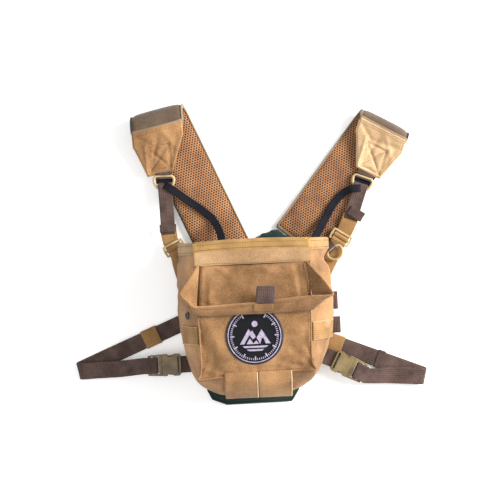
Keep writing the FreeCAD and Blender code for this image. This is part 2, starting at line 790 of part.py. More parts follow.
BUCKLES = {
    "left": {"origin": plan(-84, -129.5), "turn": 180},
    "right": {"origin": plan(99.2, -132.3), "turn": -28},
}
STRAPS = {
    "left": {"start": plan(-54, -69.8), "turn": plan(-204.8, -130.9), "keeper": 0.57},
    "right": {"start": plan(71, -101), "turn": plan(205, -156.2), "keeper": 0.77},
}
BUCKLE_ANCHORS = {"left": plan(-51.5, -129.5), "right": plan(66, -118.5)}
FRONT_RUN_ENDS = {"left": plan(-126, -129.6), "right": plan(137, -150.8)}


def buckle_place(side):
    origin = BUCKLES[side]["origin"]
    return at(origin.x, origin.y, size("buckle_z"), Rotation(UP, BUCKLES[side]["turn"]))


def buckle_socket(side):
    """A flat box with a cavity open at its mouth, windows and thumb notches at its sides, and a slot for webbing."""
    half = "buckle_width / 2"
    outline = [
        ("0", f"2 - {half}"),
        ("2", f"-({half})"),
        ("socket_length", f"-({half})"),
        ("socket_length", half),
        ("2", half),
        ("0", f"{half} - 2"),
    ]
    body = plate(f"{side}_socket", [outline], "socket_height", buckle_place(side), midplane=True)
    inside = f"({half} - socket_wall)"
    cavity = rectangle("cavity_start", "socket_length + 1", f"-{inside}", inside)
    cut(body, f"{side}_cavity", cavity, "cavity_height", both=True)
    windows = rectangle("window_start", "window_end", f"-({half}) - 1", f"{half} + 1")
    cut(body, f"{side}_windows", windows, "cavity_height + 0.6", both=True)
    for name, sign in (("rear", ""), ("front", "-")):
        notch = [
            ("window_start", f"{sign}({half} + 1)"),
            ("window_end", f"{sign}({half} + 1)"),
            ("window_end - 2", f"{sign}({half} - notch)"),
            ("window_start + 2", f"{sign}({half} - notch)"),
        ]
        cut(body, f"{side}_{name}_notch", notch, "socket_height + 2", both=True)
    slot = rectangle("2", "2 + slot", "-(slot_width / 2)", "slot_width / 2")
    cut(body, f"{side}_slot", slot, "socket_height + 2", both=True)
    keep(body, f"{side}_buckle_socket")


def buckle_plug(side):
    """A ladder with two slots and a guide rib; its two prongs are pieces of their own."""
    half = "buckle_width / 2"
    rib = "(guide / 2)"
    outline = [
        ("plug_start", f"-({half})"),
        ("plug_end", f"1 - {half}"),
        ("plug_end", f"{half} - 1"),
        ("plug_start", half),
        ("plug_start", rib),
        ("prong_tip + 2", rib),
        ("prong_tip + 2", f"-{rib}"),
        ("plug_start", f"-{rib}"),
    ]
    loops = [outline]
    for start in (26.4, 33.4):
        loops.append(rectangle(start, f"{start} + slot", "-(slot_width / 2)", "slot_width / 2"))
    plug = plate(f"{side}_plug", loops, "plug_height", buckle_place(side), midplane=True)
    keep(plug, f"{side}_buckle_plug")
    outer = "(buckle_width / 2 - socket_wall - prong_gap)"
    prong = [
        ("prong_tip", f"{outer} - prong"),
        ("prong_root", f"{outer} - prong"),
        ("prong_root", outer),
        ("barb_end", outer),
        ("barb_start", f"{outer} + barb"),
        ("prong_tip", f"{outer} - 0.4"),
    ]
    for name, corners in (("rear", prong), ("front", [(x, f"-({y})") for x, y in prong])):
        arm = plate(f"{side}_prong_{name}", [corners], "prong_height", buckle_place(side), midplane=True)
        keep(arm, f"{side}_buckle_prong_{name}")


def plug_webbing(side):
    """The length of side strap that is threaded over the plug's bar and moves with it."""
    start = size("plug_end") - 12
    outline = rectangle(start, start + size("threaded"), "-(webbing / 2)", "webbing / 2")
    place = buckle_place(side).multiply(at(0, 0, size("plug_height / 2") + 0.1))
    keep(plate(f"{side}_threaded", [outline], "1.4", place), f"{side}_plug_webbing")


def strap_sleeve(label, length, place):
    """A sleeve round one layer of side strap."""
    return flat_sleeve(label, "webbing", "web + 2 * keeper_gap", "keeper_wall", length, place)


def side_strap(side):
    """From the yoke's edge out to the fold and back on top, to under the plug's outer end."""
    strap = STRAPS[side]
    fold = Fold(strap["start"], strap["turn"], FRONT_RUN_ENDS[side], size("low_z"), size("strap_turn"))
    width = size("webbing")
    taus = [-fold.come_in] + fold.bend() + [fold.arc + fold.go_out]
    shape = ribbon([fold.station(tau, width) for tau in taus], size("web"))
    keep(feature(f"{side}_strap", shape), f"{side}_side_strap")
    along = (strap["start"] - strap["turn"]).normalize()
    middle = strap["turn"] + (strap["start"] - strap["turn"]) * strap["keeper"] + UP * size("low_z")
    place = FreeCAD.Placement(middle, heading(along))
    keep(strap_sleeve(f"{side}_keeper", "keeper_length", place), f"{side}_strap_keeper")


def right_tail_loop():
    """The elastic loop near the right strap's fold, which holds its loose end."""
    strap = STRAPS["right"]
    along = (strap["start"] - strap["turn"]).normalize()
    place = FreeCAD.Placement(strap["turn"] + along * 54 + UP * size("low_z"), heading(along))
    keep(strap_sleeve("tail_loop", "9", place), "right_tail_loop")


def buckle_anchors():
    """Short webbing from under the pouch to each socket."""
    anchors = []
    for side, foot in BUCKLE_ANCHORS.items():
        tip = buckle_place(side).multVec(Vector(-1.2, 0, 0))
        anchors.append(feature(f"{side}_anchor", strip([foot + UP * tip.z, tip], size("webbing"), size("web"))))
    group("buckle_anchor_webbings", anchors)


def check_and_write():
    sheet.clear(SPARE_CELL)
    doc.recompute()
    for item in doc.Objects:
        bad = [state for state in item.State if state in ("Invalid", "Error")]
        if bad:
            raise RuntimeError(f"{item.Name} did not compute: {bad}")
    for item in pieces:
        shape = item.Shape
        if shape.isNull() or not shape.isValid() or shape.Volume <= 0:
            raise RuntimeError(f"{item.Label} has no valid solid")
    os.makedirs("parts", exist_ok=True)
    whole = FreeCAD.BoundBox()
    for item in pieces:
        item.Shape.exportStep(os.path.join("parts", item.Label + ".step"))
        whole.add(item.Shape.BoundBox)
    print(len(pieces), "pieces", whole)


pouch_walls()
pouch_base()
pouch_padding()
rim_binding()
webbing_loops()
pouch_trims()
lid()
yoke()
for one_side in ("left", "right"):
    shoulder(one_side)
    upper_webbing(one_side)
    ladder_lock(one_side)
    buckle_socket(one_side)
    buckle_plug(one_side)
    plug_webbing(one_side)
    side_strap(one_side)
rings()
anchor_webbing()
shoulder_keepers()
tethers()
buckle_anchors()
right_tail_loop()
check_and_write()
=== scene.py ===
import json
import math

import bpy
import numpy as np
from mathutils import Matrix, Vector, noise
from mathutils.bvhtree import BVHTree


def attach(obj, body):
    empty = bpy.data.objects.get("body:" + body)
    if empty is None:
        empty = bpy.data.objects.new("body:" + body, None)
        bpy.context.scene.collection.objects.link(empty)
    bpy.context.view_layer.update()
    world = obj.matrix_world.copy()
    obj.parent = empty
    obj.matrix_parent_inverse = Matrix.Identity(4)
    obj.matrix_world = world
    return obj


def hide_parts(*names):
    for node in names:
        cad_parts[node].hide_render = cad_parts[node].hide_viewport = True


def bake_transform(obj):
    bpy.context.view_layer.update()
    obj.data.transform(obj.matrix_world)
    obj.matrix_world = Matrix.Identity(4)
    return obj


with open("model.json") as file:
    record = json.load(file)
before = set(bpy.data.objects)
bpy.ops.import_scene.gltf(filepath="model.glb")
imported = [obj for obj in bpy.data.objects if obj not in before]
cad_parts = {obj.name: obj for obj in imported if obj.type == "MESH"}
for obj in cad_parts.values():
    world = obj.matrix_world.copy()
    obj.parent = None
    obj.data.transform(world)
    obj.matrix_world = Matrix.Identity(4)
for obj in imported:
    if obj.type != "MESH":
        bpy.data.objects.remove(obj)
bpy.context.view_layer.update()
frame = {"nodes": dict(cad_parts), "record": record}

MM = 0.001
MIDDLE = 6.5  # x of the pouch's middle
UP = np.array([0.0, 0.0, 1.0])
SCENE = bpy.context.scene


# ---- materials -----------------------------------------------------------------------------------


def rgb(red, green, blue):
    """A colour given as on a screen, 0 to 255, in linear light."""
    linear = [c / 255 / 12.92 if c < 10 else ((c / 255 + 0.055) / 1.055) ** 2.4 for c in (red, green, blue)]
    return (*linear, 1.0)


class Shader:
    """A material whose nodes are written as sums."""

    def __init__(self, name, roughness, **sockets):
        self.material = bpy.data.materials.new(name)
        self.material.use_nodes = True
        self.tree = self.material.node_tree
        self.tree.nodes.clear()
        self.surface = self.node("ShaderNodeBsdfPrincipled", Roughness=roughness, **sockets)
        output = self.tree.nodes.new("ShaderNodeOutputMaterial")
        self.tree.links.new(self.surface.outputs[0], output.inputs[0])

    def node(self, kind, settings=None, **sockets):
        node = self.tree.nodes.new(kind)
        for key, value in (settings or {}).items():
            setattr(node, key, value)
        for key, value in sockets.items():
            self.put(node.inputs[key.replace("_", " ")], value)
        return node

    def put(self, socket, value):
        if isinstance(value, bpy.types.NodeSocket):
            self.tree.links.new(value, socket)
        else:
            socket.default_value = value

    def math(self, operation, *values):
        node = self.node("ShaderNodeMath", {"operation": operation})
        for socket, value in zip(node.inputs, values):
            self.put(socket, value)
        return node.outputs[0]

    def where(self, kind):
        """The three coordinates, in metres."""
        coordinates = self.node("ShaderNodeTexCoord").outputs[kind]
        parts = self.node("ShaderNodeSeparateXYZ", Vector=coordinates)
        return list(parts.outputs)

    def wave(self, value, pitch, shift=0.0):
        """A sine of the given pitch in metres, from -1 to 1."""
        turned = self.math("MULTIPLY_ADD", value, 2 * math.pi / pitch, shift)
        return self.math("SINE", turned)

    def noise(self, scale, detail=4.0, roughness=0.55, kind="Object"):
        place = self.node("ShaderNodeTexCoord").outputs[kind]
        settings = {"Vector": place, "Scale": scale, "Detail": detail, "Roughness": roughness}
        return self.node("ShaderNodeTexNoise", **settings).outputs[0]

    def span(self, value, low, high, to_low=0.0, to_high=1.0):
        node = self.node("ShaderNodeMapRange", {"clamp": True})
        ends = {"Value": value, "From Min": low, "From Max": high, "To Min": to_low, "To Max": to_high}
        for key, number in ends.items():
            self.put(node.inputs[key], number)
        return node.outputs[0]

    def mix(self, share, first, second, blend="MIX"):
        node = self.node("ShaderNodeMix", {"data_type": "RGBA", "blend_type": blend})
        for index, value in ((0, share), (6, first), (7, second)):
            self.put(node.inputs[index], value)
        return node.outputs[2]

    def finish(self, colour, height=None, strength=0.5, distance=0.0003, roughness=None):
        self.put(self.surface.inputs["Base Color"], colour)
        if roughness is not None:
            self.put(self.surface.inputs["Roughness"], roughness)
        if height is not None:
            bump = self.node("ShaderNodeBump", Strength=strength, Distance=distance, Height=height)
            self.put(self.surface.inputs["Normal"], bump.outputs[0])
        return self.material


def woven(name, dark, light, pitch=0.0011, sheen=0.25, strength=0.35, patches=16.0):
    """Plain weave: threads over and under, with uneven dye, fine fluff, and painted shade where the threads
    dip.
    """
    s = Shader(name, 0.88, Sheen_Weight=sheen, Sheen_Roughness=0.5, Specular_IOR_Level=0.25)
    facing = s.node("ShaderNodeSeparateXYZ", Vector=s.node("ShaderNodeNewGeometry").outputs["Normal"])
    threads = 0.0
    for place, slope in zip(s.where("Object"), facing.outputs):
        along = s.math("SUBTRACT", 1.0, s.math("MULTIPLY", slope, slope))
        threads = s.math("MULTIPLY_ADD", s.wave(place, pitch), along, threads)
    blotch = s.noise(patches, 5.0, 0.6)
    fluff = s.noise(1100.0, 3.0, 0.65)
    shade = s.math("MULTIPLY_ADD", s.math("SUBTRACT", fluff, 0.5), 0.75, blotch)
    # painted shade: the colour is a little darker where the threads dip
    shade = s.math("MULTIPLY_ADD", threads, 0.06, shade)
    height = s.math("MULTIPLY_ADD", fluff, 0.9, threads)
    colour = s.mix(s.span(shade, 0.3, 0.8), dark, light)
    return s.finish(colour, height, strength, roughness=s.span(fluff, 0.3, 0.7, 0.8, 0.95))


def webbing(name, dark, light, pitch=0.0016, column=0.0023, sheen=0.08, strength=0.7):
    """Webbing: cross ribs that lean one way and the other from column to column, with painted shade in their
    low parts.
    """
    s = Shader(name, 0.8, Sheen_Weight=sheen, Sheen_Roughness=0.45, Specular_IOR_Level=0.2)
    across, along, _ = s.where("UV")
    lean = s.math("PINGPONG", s.math("DIVIDE", across, column), 1.0)
    turns = s.math("MULTIPLY", along, 2 * math.pi / pitch)
    ribs = s.math("SINE", s.math("ADD", turns, s.math("MULTIPLY", lean, 3.2)))
    columns = s.math("ABSOLUTE", s.wave(across, 2 * column))
    height = s.math("MULTIPLY_ADD", columns, 0.7, s.math("MULTIPLY", ribs, 0.6))
    blotch = s.noise(60.0, 4.0)
    # painted shade: the colour follows the ribs' height, darker in the grooves
    shade = s.math("ADD", s.math("MULTIPLY", height, 0.28), blotch)
    return s.finish(s.mix(s.span(shade, 0.25, 0.95), dark, light), height, strength)


def grosgrain(name, dark, light):
    """Binding tape: fine ribs across the tape, with painted shade between them."""
    s = Shader(name, 0.75, Sheen_Weight=0.3, Sheen_Roughness=0.4)
    _, along, _ = s.where("UV")
    ribs = s.wave(along, 0.0012)
    blotch = s.noise(40.0, 5.0)
    # painted shade: darker between the ribs
    shade = s.math("MULTIPLY_ADD", ribs, 0.14, blotch)
    return s.finish(s.mix(s.span(shade, 0.25, 0.75), dark, light), ribs)


MESH_PITCH = 3.3
MESH_ROWS = 1.732  # distance between rows of holes that line up, as a share of the pitch


def spacer_mesh(name, hole, dark, light):
    """Spacer mesh: threads round staggered holes, which the mesh's own shape also has; the holes are coloured
    near-black as painted shade.
    """
    s = Shader(name, 0.7, Sheen_Weight=0.2, Sheen_Roughness=0.4)
    across, along, _ = s.where("UV")
    near = []
    for shift in (0.0, 0.5):
        u = s.math("MULTIPLY_ADD", across, 1 / (MESH_PITCH * MM), shift)
        v = s.math("MULTIPLY_ADD", along, 1 / (MESH_PITCH * MM * MESH_ROWS), shift)
        du = s.math("SUBTRACT", u, s.math("ROUND", u))
        dv = s.math("MULTIPLY", s.math("SUBTRACT", v, s.math("ROUND", v)), MESH_ROWS)
        near.append(s.math("SQRT", s.math("ADD", s.math("MULTIPLY", du, du), s.math("MULTIPLY", dv, dv))))
    apart = s.math("MINIMUM", *near)
    blotch = s.noise(45.0, 4.0)
    fine = s.noise(1600.0, 2.0)
    threads = s.mix(s.span(s.math("MULTIPLY_ADD", fine, 0.6, blotch), 0.5, 1.1), dark, light)
    # painted shade: the holes take the near-black hole colour
    colour = s.mix(s.span(apart, 0.25, 0.42), hole, threads)
    return s.finish(colour, fine, 0.4)


def plastic(name, dark, light, roughness=0.42):
    """Moulded plastic: faint mottling, fine grain and dull patches from handling."""
    s = Shader(name, roughness)
    blotch = s.noise(70.0, 4.0)
    grain = s.noise(2600.0, 2.0)
    colour = s.mix(s.span(blotch, 0.3, 0.7), dark, light)
    dull = s.span(blotch, 0.3, 0.7, roughness - 0.06, roughness + 0.12)
    return s.finish(colour, grain, 0.12, 0.0002, dull)


def satin(name, dark, light, turn):
    """Embroidery: close satin stitches that lie in one direction, with painted shade between them."""
    s = Shader(name, 0.55, Sheen_Weight=0.3, Sheen_Roughness=0.3)
    x, y, _ = s.where("Object")
    across = s.math("ADD", s.math("MULTIPLY", x, math.cos(turn)), s.math("MULTIPLY", y, math.sin(turn)))
    threads = s.wave(across, 0.0008)
    fine = s.noise(500.0, 3.0)
    # painted shade: darker between the stitches
    shade = s.math("MULTIPLY_ADD", threads, 0.2, fine)
    return s.finish(s.mix(s.span(shade, 0.2, 0.9), dark, light), threads, 0.6)


def metal(name, colour):
    s = Shader(name, 0.35, Metallic=1.0)
    fine = s.noise(400.0, 3.0)
    return s.finish(s.mix(fine, colour, rgb(210, 210, 205)), fine, 0.1, 0.0002)


MATERIALS = {
    "coyote_fabric": woven("coyote_fabric", rgb(102, 72, 42), rgb(196, 150, 104), sheen=0.1),
    # a lighter copy of the coyote fabric: painted light on the lid strip and on the gusset bands' edge rolls
    "coyote_painted_light": woven("coyote_painted_light", rgb(136, 104, 70), rgb(206, 170, 128), sheen=0.12),
    # a lighter copy of the coyote fabric: painted light for the right shoulder tab, which the light falls on
    # more than the left one
    "coyote_painted_bright": woven("coyote_painted_bright", rgb(170, 138, 102), rgb(238, 206, 164), sheen=0.12),
    "gold_binding": grosgrain("gold_binding", rgb(126, 92, 44), rgb(184, 144, 82)),
    "tan_webbing": webbing("tan_webbing", rgb(112, 82, 48), rgb(170, 132, 84)),
    "brown_webbing": webbing("brown_webbing", rgb(38, 27, 23), rgb(102, 82, 76)),
    # the first colour is the painted shade in the mesh's holes
    "mesh_padding": spacer_mesh("mesh_padding", rgb(18, 8, 4), rgb(116, 70, 38), rgb(198, 140, 88)),
    "pad_back": woven("pad_back", rgb(70, 56, 44), rgb(116, 98, 80), patches=30.0),
    "dark_padding": woven("dark_padding", rgb(10, 30, 27), rgb(26, 56, 48), strength=0.5),
    "foam": woven("foam", rgb(60, 52, 42), rgb(96, 82, 64)),
    "stiffener_board": plastic("stiffener_board", rgb(60, 60, 60), rgb(80, 80, 80), 0.6),
    "black_strap": webbing("black_strap", rgb(5, 5, 9), rgb(24, 24, 36), 0.0013, 0.0018, 0.04, 0.4),
    "black_plastic": plastic("black_plastic", rgb(18, 18, 20), rgb(34, 34, 38)),
    "tan_plastic": plastic("tan_plastic", rgb(142, 120, 80), rgb(192, 170, 126)),
    "buckle_plastic": plastic("buckle_plastic", rgb(84, 70, 42), rgb(128, 110, 74), 0.4),
    "patch": woven("patch", rgb(6, 8, 12), rgb(22, 24, 32), 0.0009, 0.0, 0.5),
    "eyelet": plastic("eyelet", rgb(14, 14, 15), rgb(34, 34, 36), 0.3),
    "magnet": metal("magnet", rgb(150, 150, 150)),
    "embroidery": satin("embroidery", rgb(120, 110, 136), rgb(200, 190, 214), 0.6),
    "patch_edge": satin("patch_edge", rgb(14, 15, 22), rgb(48, 50, 66), 0.0),
    "thread": plastic("thread", rgb(84, 54, 26), rgb(120, 82, 44), 0.7),
    "gold_thread": plastic("gold_thread", rgb(84, 54, 22), rgb(112, 76, 34), 0.7),
    # pale colour of the base loops' right-edge rolls: painted highlight
    "painted_edge_highlight": plastic("painted_edge_highlight", rgb(200, 170, 130), rgb(228, 204, 168), 0.7),
    "dark_edge": woven("dark_edge", rgb(30, 27, 22), rgb(58, 52, 42)),
    "grey_edge": woven("grey_edge", rgb(110, 92, 72), rgb(160, 140, 112)),
}
for part in frame["record"]["subparts"]:
    node = frame["nodes"][part["node"]]
    node.data.materials.clear()
    node.data.materials.append(MATERIALS[part["material_slot"]])


# ---- mesh helpers --------------------------------------------------------------------------------


def mesh(name, points, faces, uvs=None):
    data = bpy.data.meshes.new(name)
    data.from_pydata((np.asarray(points, float) * MM).tolist(), [], [tuple(map(int, f)) for f in faces])
    if uvs is not None:
        corners = np.zeros(len(data.loops), int)
        data.loops.foreach_get("vertex_index", corners)
        layer = data.uv_layers.new(name="UVMap")
        layer.data.foreach_set("uv", (np.asarray(uvs, float) * MM)[corners].ravel())
    data.shade_smooth()
    piece = bpy.data.objects.new(name, data)
    SCENE.collection.objects.link(piece)
    return piece


def ready(piece, body, slot, nodes=(), material=None):
    """Gives the piece its material, the slot's own unless another is named, and puts it on its body in place
    of those CAD nodes.
    """
    piece.data.materials.append(MATERIALS[material or slot])
    if body:
        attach(piece, body)
    if nodes:
        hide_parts(*nodes)
    return piece


def modify(piece, kind, **settings):
    modifier = piece.modifiers.new(kind.lower(), kind)
    for key, value in settings.items():
        setattr(modifier, key, value)
    return piece


def unit(vectors):
    vectors = np.asarray(vectors, float)
    return vectors / np.maximum(np.linalg.norm(vectors, axis=-1, keepdims=True), 1e-9)


def spline(points, per=6):
    """A smooth line through the points, with per steps in each span, or a list of them."""
    p = np.array(points, float)
    p = np.vstack([2 * p[0] - p[1], p, 2 * p[-1] - p[-2]])
    spans = len(p) - 3
    steps = [per] * spans if isinstance(per, int) else per
    out = []
    for index in range(spans):
        a, b, c, d = p[index:index + 4]
        t = (np.arange(steps[index]) / steps[index])[:, None]
        bend = 2 * a - 5 * b + 4 * c - d
        twist = 3 * b - a - 3 * c + d
        out.append(0.5 * (2 * b + (c - a) * t + bend * t**2 + twist * t**3))
    return np.vstack(out + [p[-2:-1]])


def lengths(path):
    steps = np.linalg.norm(np.diff(path, axis=0), axis=1)
    return np.concatenate([[0.0], np.cumsum(steps)])


def evenly(path, pitch):
    """Points every pitch along a path, with their directions."""
    run = lengths(path)
    at = np.arange(pitch / 2, run[-1], pitch)
    points = np.stack([np.interp(at, run, path[:, k]) for k in range(3)], axis=1)
    after = np.stack([np.interp(at + 0.3, run, path[:, k]) for k in range(3)], axis=1)
    before = np.stack([np.interp(at - 0.3, run, path[:, k]) for k in range(3)], axis=1)
    return points, unit(after - before)


def sides_of(path, across=None):
    along = unit(np.gradient(path, axis=0))
    if across is None:
        side = unit(np.cross(UP, along))
    else:
        side = np.broadcast_to(np.asarray(across, float), path.shape)
    return along, side, unit(np.cross(along, side))


# a strap's section, as shares of half its width and half its thickness
STRAP_SECTION = [(-1, -0.3), (-1, 0.3), (-0.94, 0.9), (-0.8, 1), (-0.4, 0.88), (0, 0.86)]
STRAP_SECTION += [(0.4, 0.88), (0.8, 1), (0.94, 0.9), (1, 0.3)]
STRAP_SECTION += [(-a, -n) for a, n in STRAP_SECTION[2:9]]


def sweep(name, rings, faces_closed=True, uvs=None, caps=True):
    """A skin over rings, an array of stations by corners by three."""
    count, corners = rings.shape[:2]
    faces = []
    for i in range(count - 1):
        for j in range(corners if faces_closed else corners - 1):
            k = (j + 1) % corners
            faces.append((i * corners + j, i * corners + k, (i + 1) * corners + k, (i + 1) * corners + j))
    if caps:
        faces.append(tuple(range(corners))[::-1])
        faces.append(tuple(range((count - 1) * corners, count * corners)))
    return mesh(name, rings.reshape(-1, 3), faces, uvs)


def strap(name, points, width, thick, across=None, per=5):
    """Flat webbing with thickened edges along a smooth line, of one width or one for each point."""
    path = spline(points, per)
    if across is not None and np.ndim(across) == 2:
        across = spline(across, per)
    if np.ndim(width):
        widths = spline(np.array([[w] for w in width]), per)[:, 0]
    else:
        widths = np.full(len(path), float(width))
    _, side, normal = sides_of(path, across)
    run = lengths(path)
    rings, uvs = [], []
    for i in range(len(path)):
        ring = []
        for a, n in STRAP_SECTION:
            ring.append(path[i] + side[i] * a * widths[i] / 2 + normal[i] * n * thick / 2)
        rings.append(ring)
        uvs += [(a * widths[i] / 2, run[i]) for a, _ in STRAP_SECTION]
    return sweep(name, np.array(rings), uvs=uvs)


def tube(name, path, radius, sides=8):
    """A round roll along a path of points."""
    _, side, normal = sides_of(path)
    turns = np.arange(sides) * 2 * math.pi / sides
    rings = []
    for p, s, n in zip(path, side, normal):
        rings.append([p + s * radius * math.cos(t) + n * radius * math.sin(t) for t in turns])
    run = lengths(path)
    uvs = [(radius * t, run[i]) for i in range(len(path)) for t in turns]
    return sweep(name, np.array(rings), uvs=uvs)


def grid_faces(index):
    """Quads over a two-dimensional array of vertex numbers."""
    rows, columns = index.shape
    return [
        (index[i, j], index[i, j + 1], index[i + 1, j + 1], index[i + 1, j])
        for i in range(rows - 1)
        for j in range(columns - 1)
    ]


def surface(name, grid, uvs=None):
    grid = np.asarray(grid, float)
    index = np.arange(grid.shape[0] * grid.shape[1]).reshape(grid.shape[:2])
    if uvs is not None:
        uvs = np.asarray(uvs).reshape(-1, 2)
    return mesh(name, grid.reshape(-1, 3), grid_faces(index), uvs)


def cushion(name, top, bottom):
    """A closed form between two grids that share their border."""
    top, bottom = np.asarray(top, float), np.asarray(bottom, float)
    rows, columns = top.shape[:2]
    upper = np.arange(rows * columns).reshape(rows, columns)
    lower = upper.copy()
    inner = np.arange((rows - 2) * (columns - 2)).reshape(rows - 2, columns - 2)
    lower[1:-1, 1:-1] = rows * columns + inner
    points = np.concatenate([top.reshape(-1, 3), bottom[1:-1, 1:-1].reshape(-1, 3)])
    faces = grid_faces(upper) + [f[::-1] for f in grid_faces(lower)]
    return mesh(name, points, faces)


def dome(u, v, edge=0.12):
    """0 at the border of the unit square, rising steeply to about 1 inside."""
    near = np.minimum(np.minimum(u, 1 - u), np.minimum(v, 1 - v)).clip(0)
    return np.sqrt(1 - (1 - np.minimum(near / edge, 1)) ** 2)


def ripple(x, y, scale, seed=0.0):
    """Smooth unevenness from -1 to 1 at points in millimetres."""
    flat = [noise.noise(Vector((a / scale, b / scale, seed))) for a, b in zip(np.ravel(x), np.ravel(y))]
    return np.array(flat).reshape(np.shape(x))


def creases(x, y, lines, wide=2.5):
    """The sum of narrow valleys along lines, each (x, y, x, y, depth); they fade out at both ends."""
    total = np.zeros(np.shape(x))
    for x0, y0, x1, y1, depth in lines:
        dx, dy = x1 - x0, y1 - y0
        t = ((x - x0) * dx + (y - y0) * dy) / (dx * dx + dy * dy)
        away = np.hypot(x - x0 - t.clip(0, 1) * dx, y - y0 - t.clip(0, 1) * dy)
        fade = np.sin(np.pi * (0.15 + 0.7 * t).clip(0, 1))
        total -= depth * fade * np.exp(-((away / wide) ** 2))
    return total


def coordinates(data):
    co = np.zeros(len(data.vertices) * 3)
    data.vertices.foreach_get("co", co)
    return co.reshape(-1, 3)


def swell(piece, pressure, cap, pinned=(), grow=0.0, floor=None, frames=20):
    """Cloth: the skin swells with any pinned points held, and no point moves further than cap."""
    before = coordinates(piece.data)
    modifier = piece.modifiers.new("cloth", "CLOTH")
    settings = modifier.settings
    settings.quality = 5
    settings.mass = 0.02
    settings.tension_stiffness = 8
    settings.compression_stiffness = 8
    settings.shear_stiffness = 4
    settings.bending_stiffness = 0.3
    settings.use_pressure = True
    settings.uniform_pressure_force = pressure
    settings.effector_weights.gravity = 0
    settings.shrink_min = -grow
    modifier.collision_settings.use_collision = False
    if len(pinned):
        group = piece.vertex_groups.new(name="seams")
        group.add([int(i) for i in pinned], 1.0, "REPLACE")
        settings.vertex_group_mass = "seams"
    for number in range(1, frames + 1):
        SCENE.frame_set(number)
    evaluated = piece.evaluated_get(bpy.context.evaluated_depsgraph_get())
    moved = coordinates(evaluated.data) - before
    piece.modifiers.remove(modifier)
    SCENE.frame_set(1)
    far = np.linalg.norm(moved, axis=1, keepdims=True)
    limit = cap * MM
    after = before + moved * np.minimum(1, limit / np.maximum(far, 1e-9))
    if floor is not None:
        after[:, 2] = np.maximum(after[:, 2], floor * MM)
    piece.data.vertices.foreach_set("co", after.ravel())
    piece.data.update()
    return piece


def tree_of(*found):
    """One search tree over the finished shapes of pieces."""
    graph = bpy.context.evaluated_depsgraph_get()
    graph.update()
    points, faces = [], []
    for piece in found:
        evaluated = piece.evaluated_get(graph)
        data = evaluated.to_mesh()
        offset = len(points)
        points += [piece.matrix_world @ v.co for v in data.vertices]
        faces += [[i + offset for i in p.vertices] for p in data.polygons]
        evaluated.to_mesh_clear()
    return BVHTree.FromPolygons(points, faces)


# a stitch: two points and three rings between them, each at a share of its half length and its thickness
STITCH_RINGS = ((-0.62, 0.7), (0, 1), (0.62, 0.7))
STITCH = [(math.cos(t) * r, math.sin(t) * r, e) for e, r in STITCH_RINGS for t in np.arange(6) * math.pi / 3]


def stitches(name, body, material, paths, tree=None, pitch=3.2, long=2.3, thick=0.32, lift=0.1):
    """Rows of stitches along paths; with a tree they lie on its surface, seen from above or from the path."""
    points, faces = [], []
    for path in paths:
        places, along = evenly(np.asarray(path, float), pitch)
        for p, d in zip(places, along):
            normal = UP
            if tree is not None:
                spot, facing, _, _ = tree.find_nearest(Vector(p * MM))
                if spot is None:
                    continue
                normal = np.array(facing)
                p = np.array(spot) / MM
            side = unit(np.cross(normal, d))
            normal = unit(np.cross(d, side))
            base = len(points)
            centre = p + normal * lift
            points.append(centre - d * long / 2)
            for a, b, e in STITCH:
                points.append(centre + side * a * thick + normal * b * thick + d * e * long / 2)
            points.append(centre + d * long / 2)
            for k in range(6):
                m = (k + 1) % 6
                faces.append((base, base + 1 + m, base + 1 + k))
                for ring in (0, 6):
                    low = base + 1 + ring
                    faces.append((low + k, low + m, low + 6 + m, low + 6 + k))
                faces.append((base + 13 + k, base + 13 + m, base + 19))
    piece = mesh(name, points, faces)
    return ready(piece, body, "coyote_fabric", material=material)


# ---- pouch ---------------------------------------------------------------------------------------

FRONT_Z, BACK_Z = 88.0, 16.2
UNDER_LID_Z = 88.6  # the front stays below this where the open lid lies on it
LOWEST_Z = 14  # no point of the shell goes below this
# half outlines at the front, at half depth and at the back, from the rim to the middle of the base
HALF_EDGES = (
    [
        (66, 13), (65.6, -30), (63.6, -85), (62.8, -118), (64, -132), (66.6, -138.6), (52, -138.4),
        (26, -138), (0, -137.4),
    ],
    [
        (81, 13), (83.5, -30), (84, -72), (80.5, -104), (73.5, -134), (64, -150), (48, -160),
        (24, -163), (0, -163.5),
    ],
    [
        (86.5, 13), (87.5, -30), (87, -76), (80, -110), (71, -135), (60, -148), (45, -153),
        (24, -154), (0, -154),
    ],
)
EDGE_STEPS = (11, 13, 9, 5, 4, 4, 6, 7)
TUCK = 6.5  # the right side is pinched in beside the small ring
SIDE_ROWS = 40
DEPTH_STEPS = 18


def rise(t, low, high):
    """0 below low and 1 above high, with a smooth change between them."""
    share = np.clip((t - low) / (high - low), 0, 1)
    return share * share * (3 - 2 * share)


def pouch_edge(depth):
    """The pouch's outline at a depth from 0, the front, to 1: left rim, round the base, to the right rim."""
    weights = (2 * (depth - 0.5) * (depth - 1), 4 * depth * (1 - depth), 2 * (depth - 0.5) * depth)
    half = sum(w * spline(edge, EDGE_STEPS) for w, edge in zip(weights, HALF_EDGES))
    wider = 5.0 * min(1.0, 2.2 * depth) * ((half[:, 1] + 150) / 60).clip(0, 1)
    tucked = rise(depth, 0.2, 0.55) * rise(half[:, 1], -24, -10) * (1 - rise(half[:, 1], -7, 0))
    wider_right = wider - TUCK * tucked
    right = half[::-1][1:] + np.stack([wider_right[::-1][1:], np.zeros(len(half) - 1)], axis=1)
    line = np.concatenate([half * (-1, 1), right])
    line[:, 1] += 0.046 * (1 - depth) * line[:, 0] * ((-line[:, 1] - 60) / 70).clip(0, 1)
    z = np.full(len(line), FRONT_Z + (BACK_Z - FRONT_Z) * depth)
    return np.column_stack([line[:, 0] + MIDDLE, line[:, 1], z])


def rim_bow(x):
    return 2.2 * (1 - ((x - MIDDLE) / 70) ** 2)


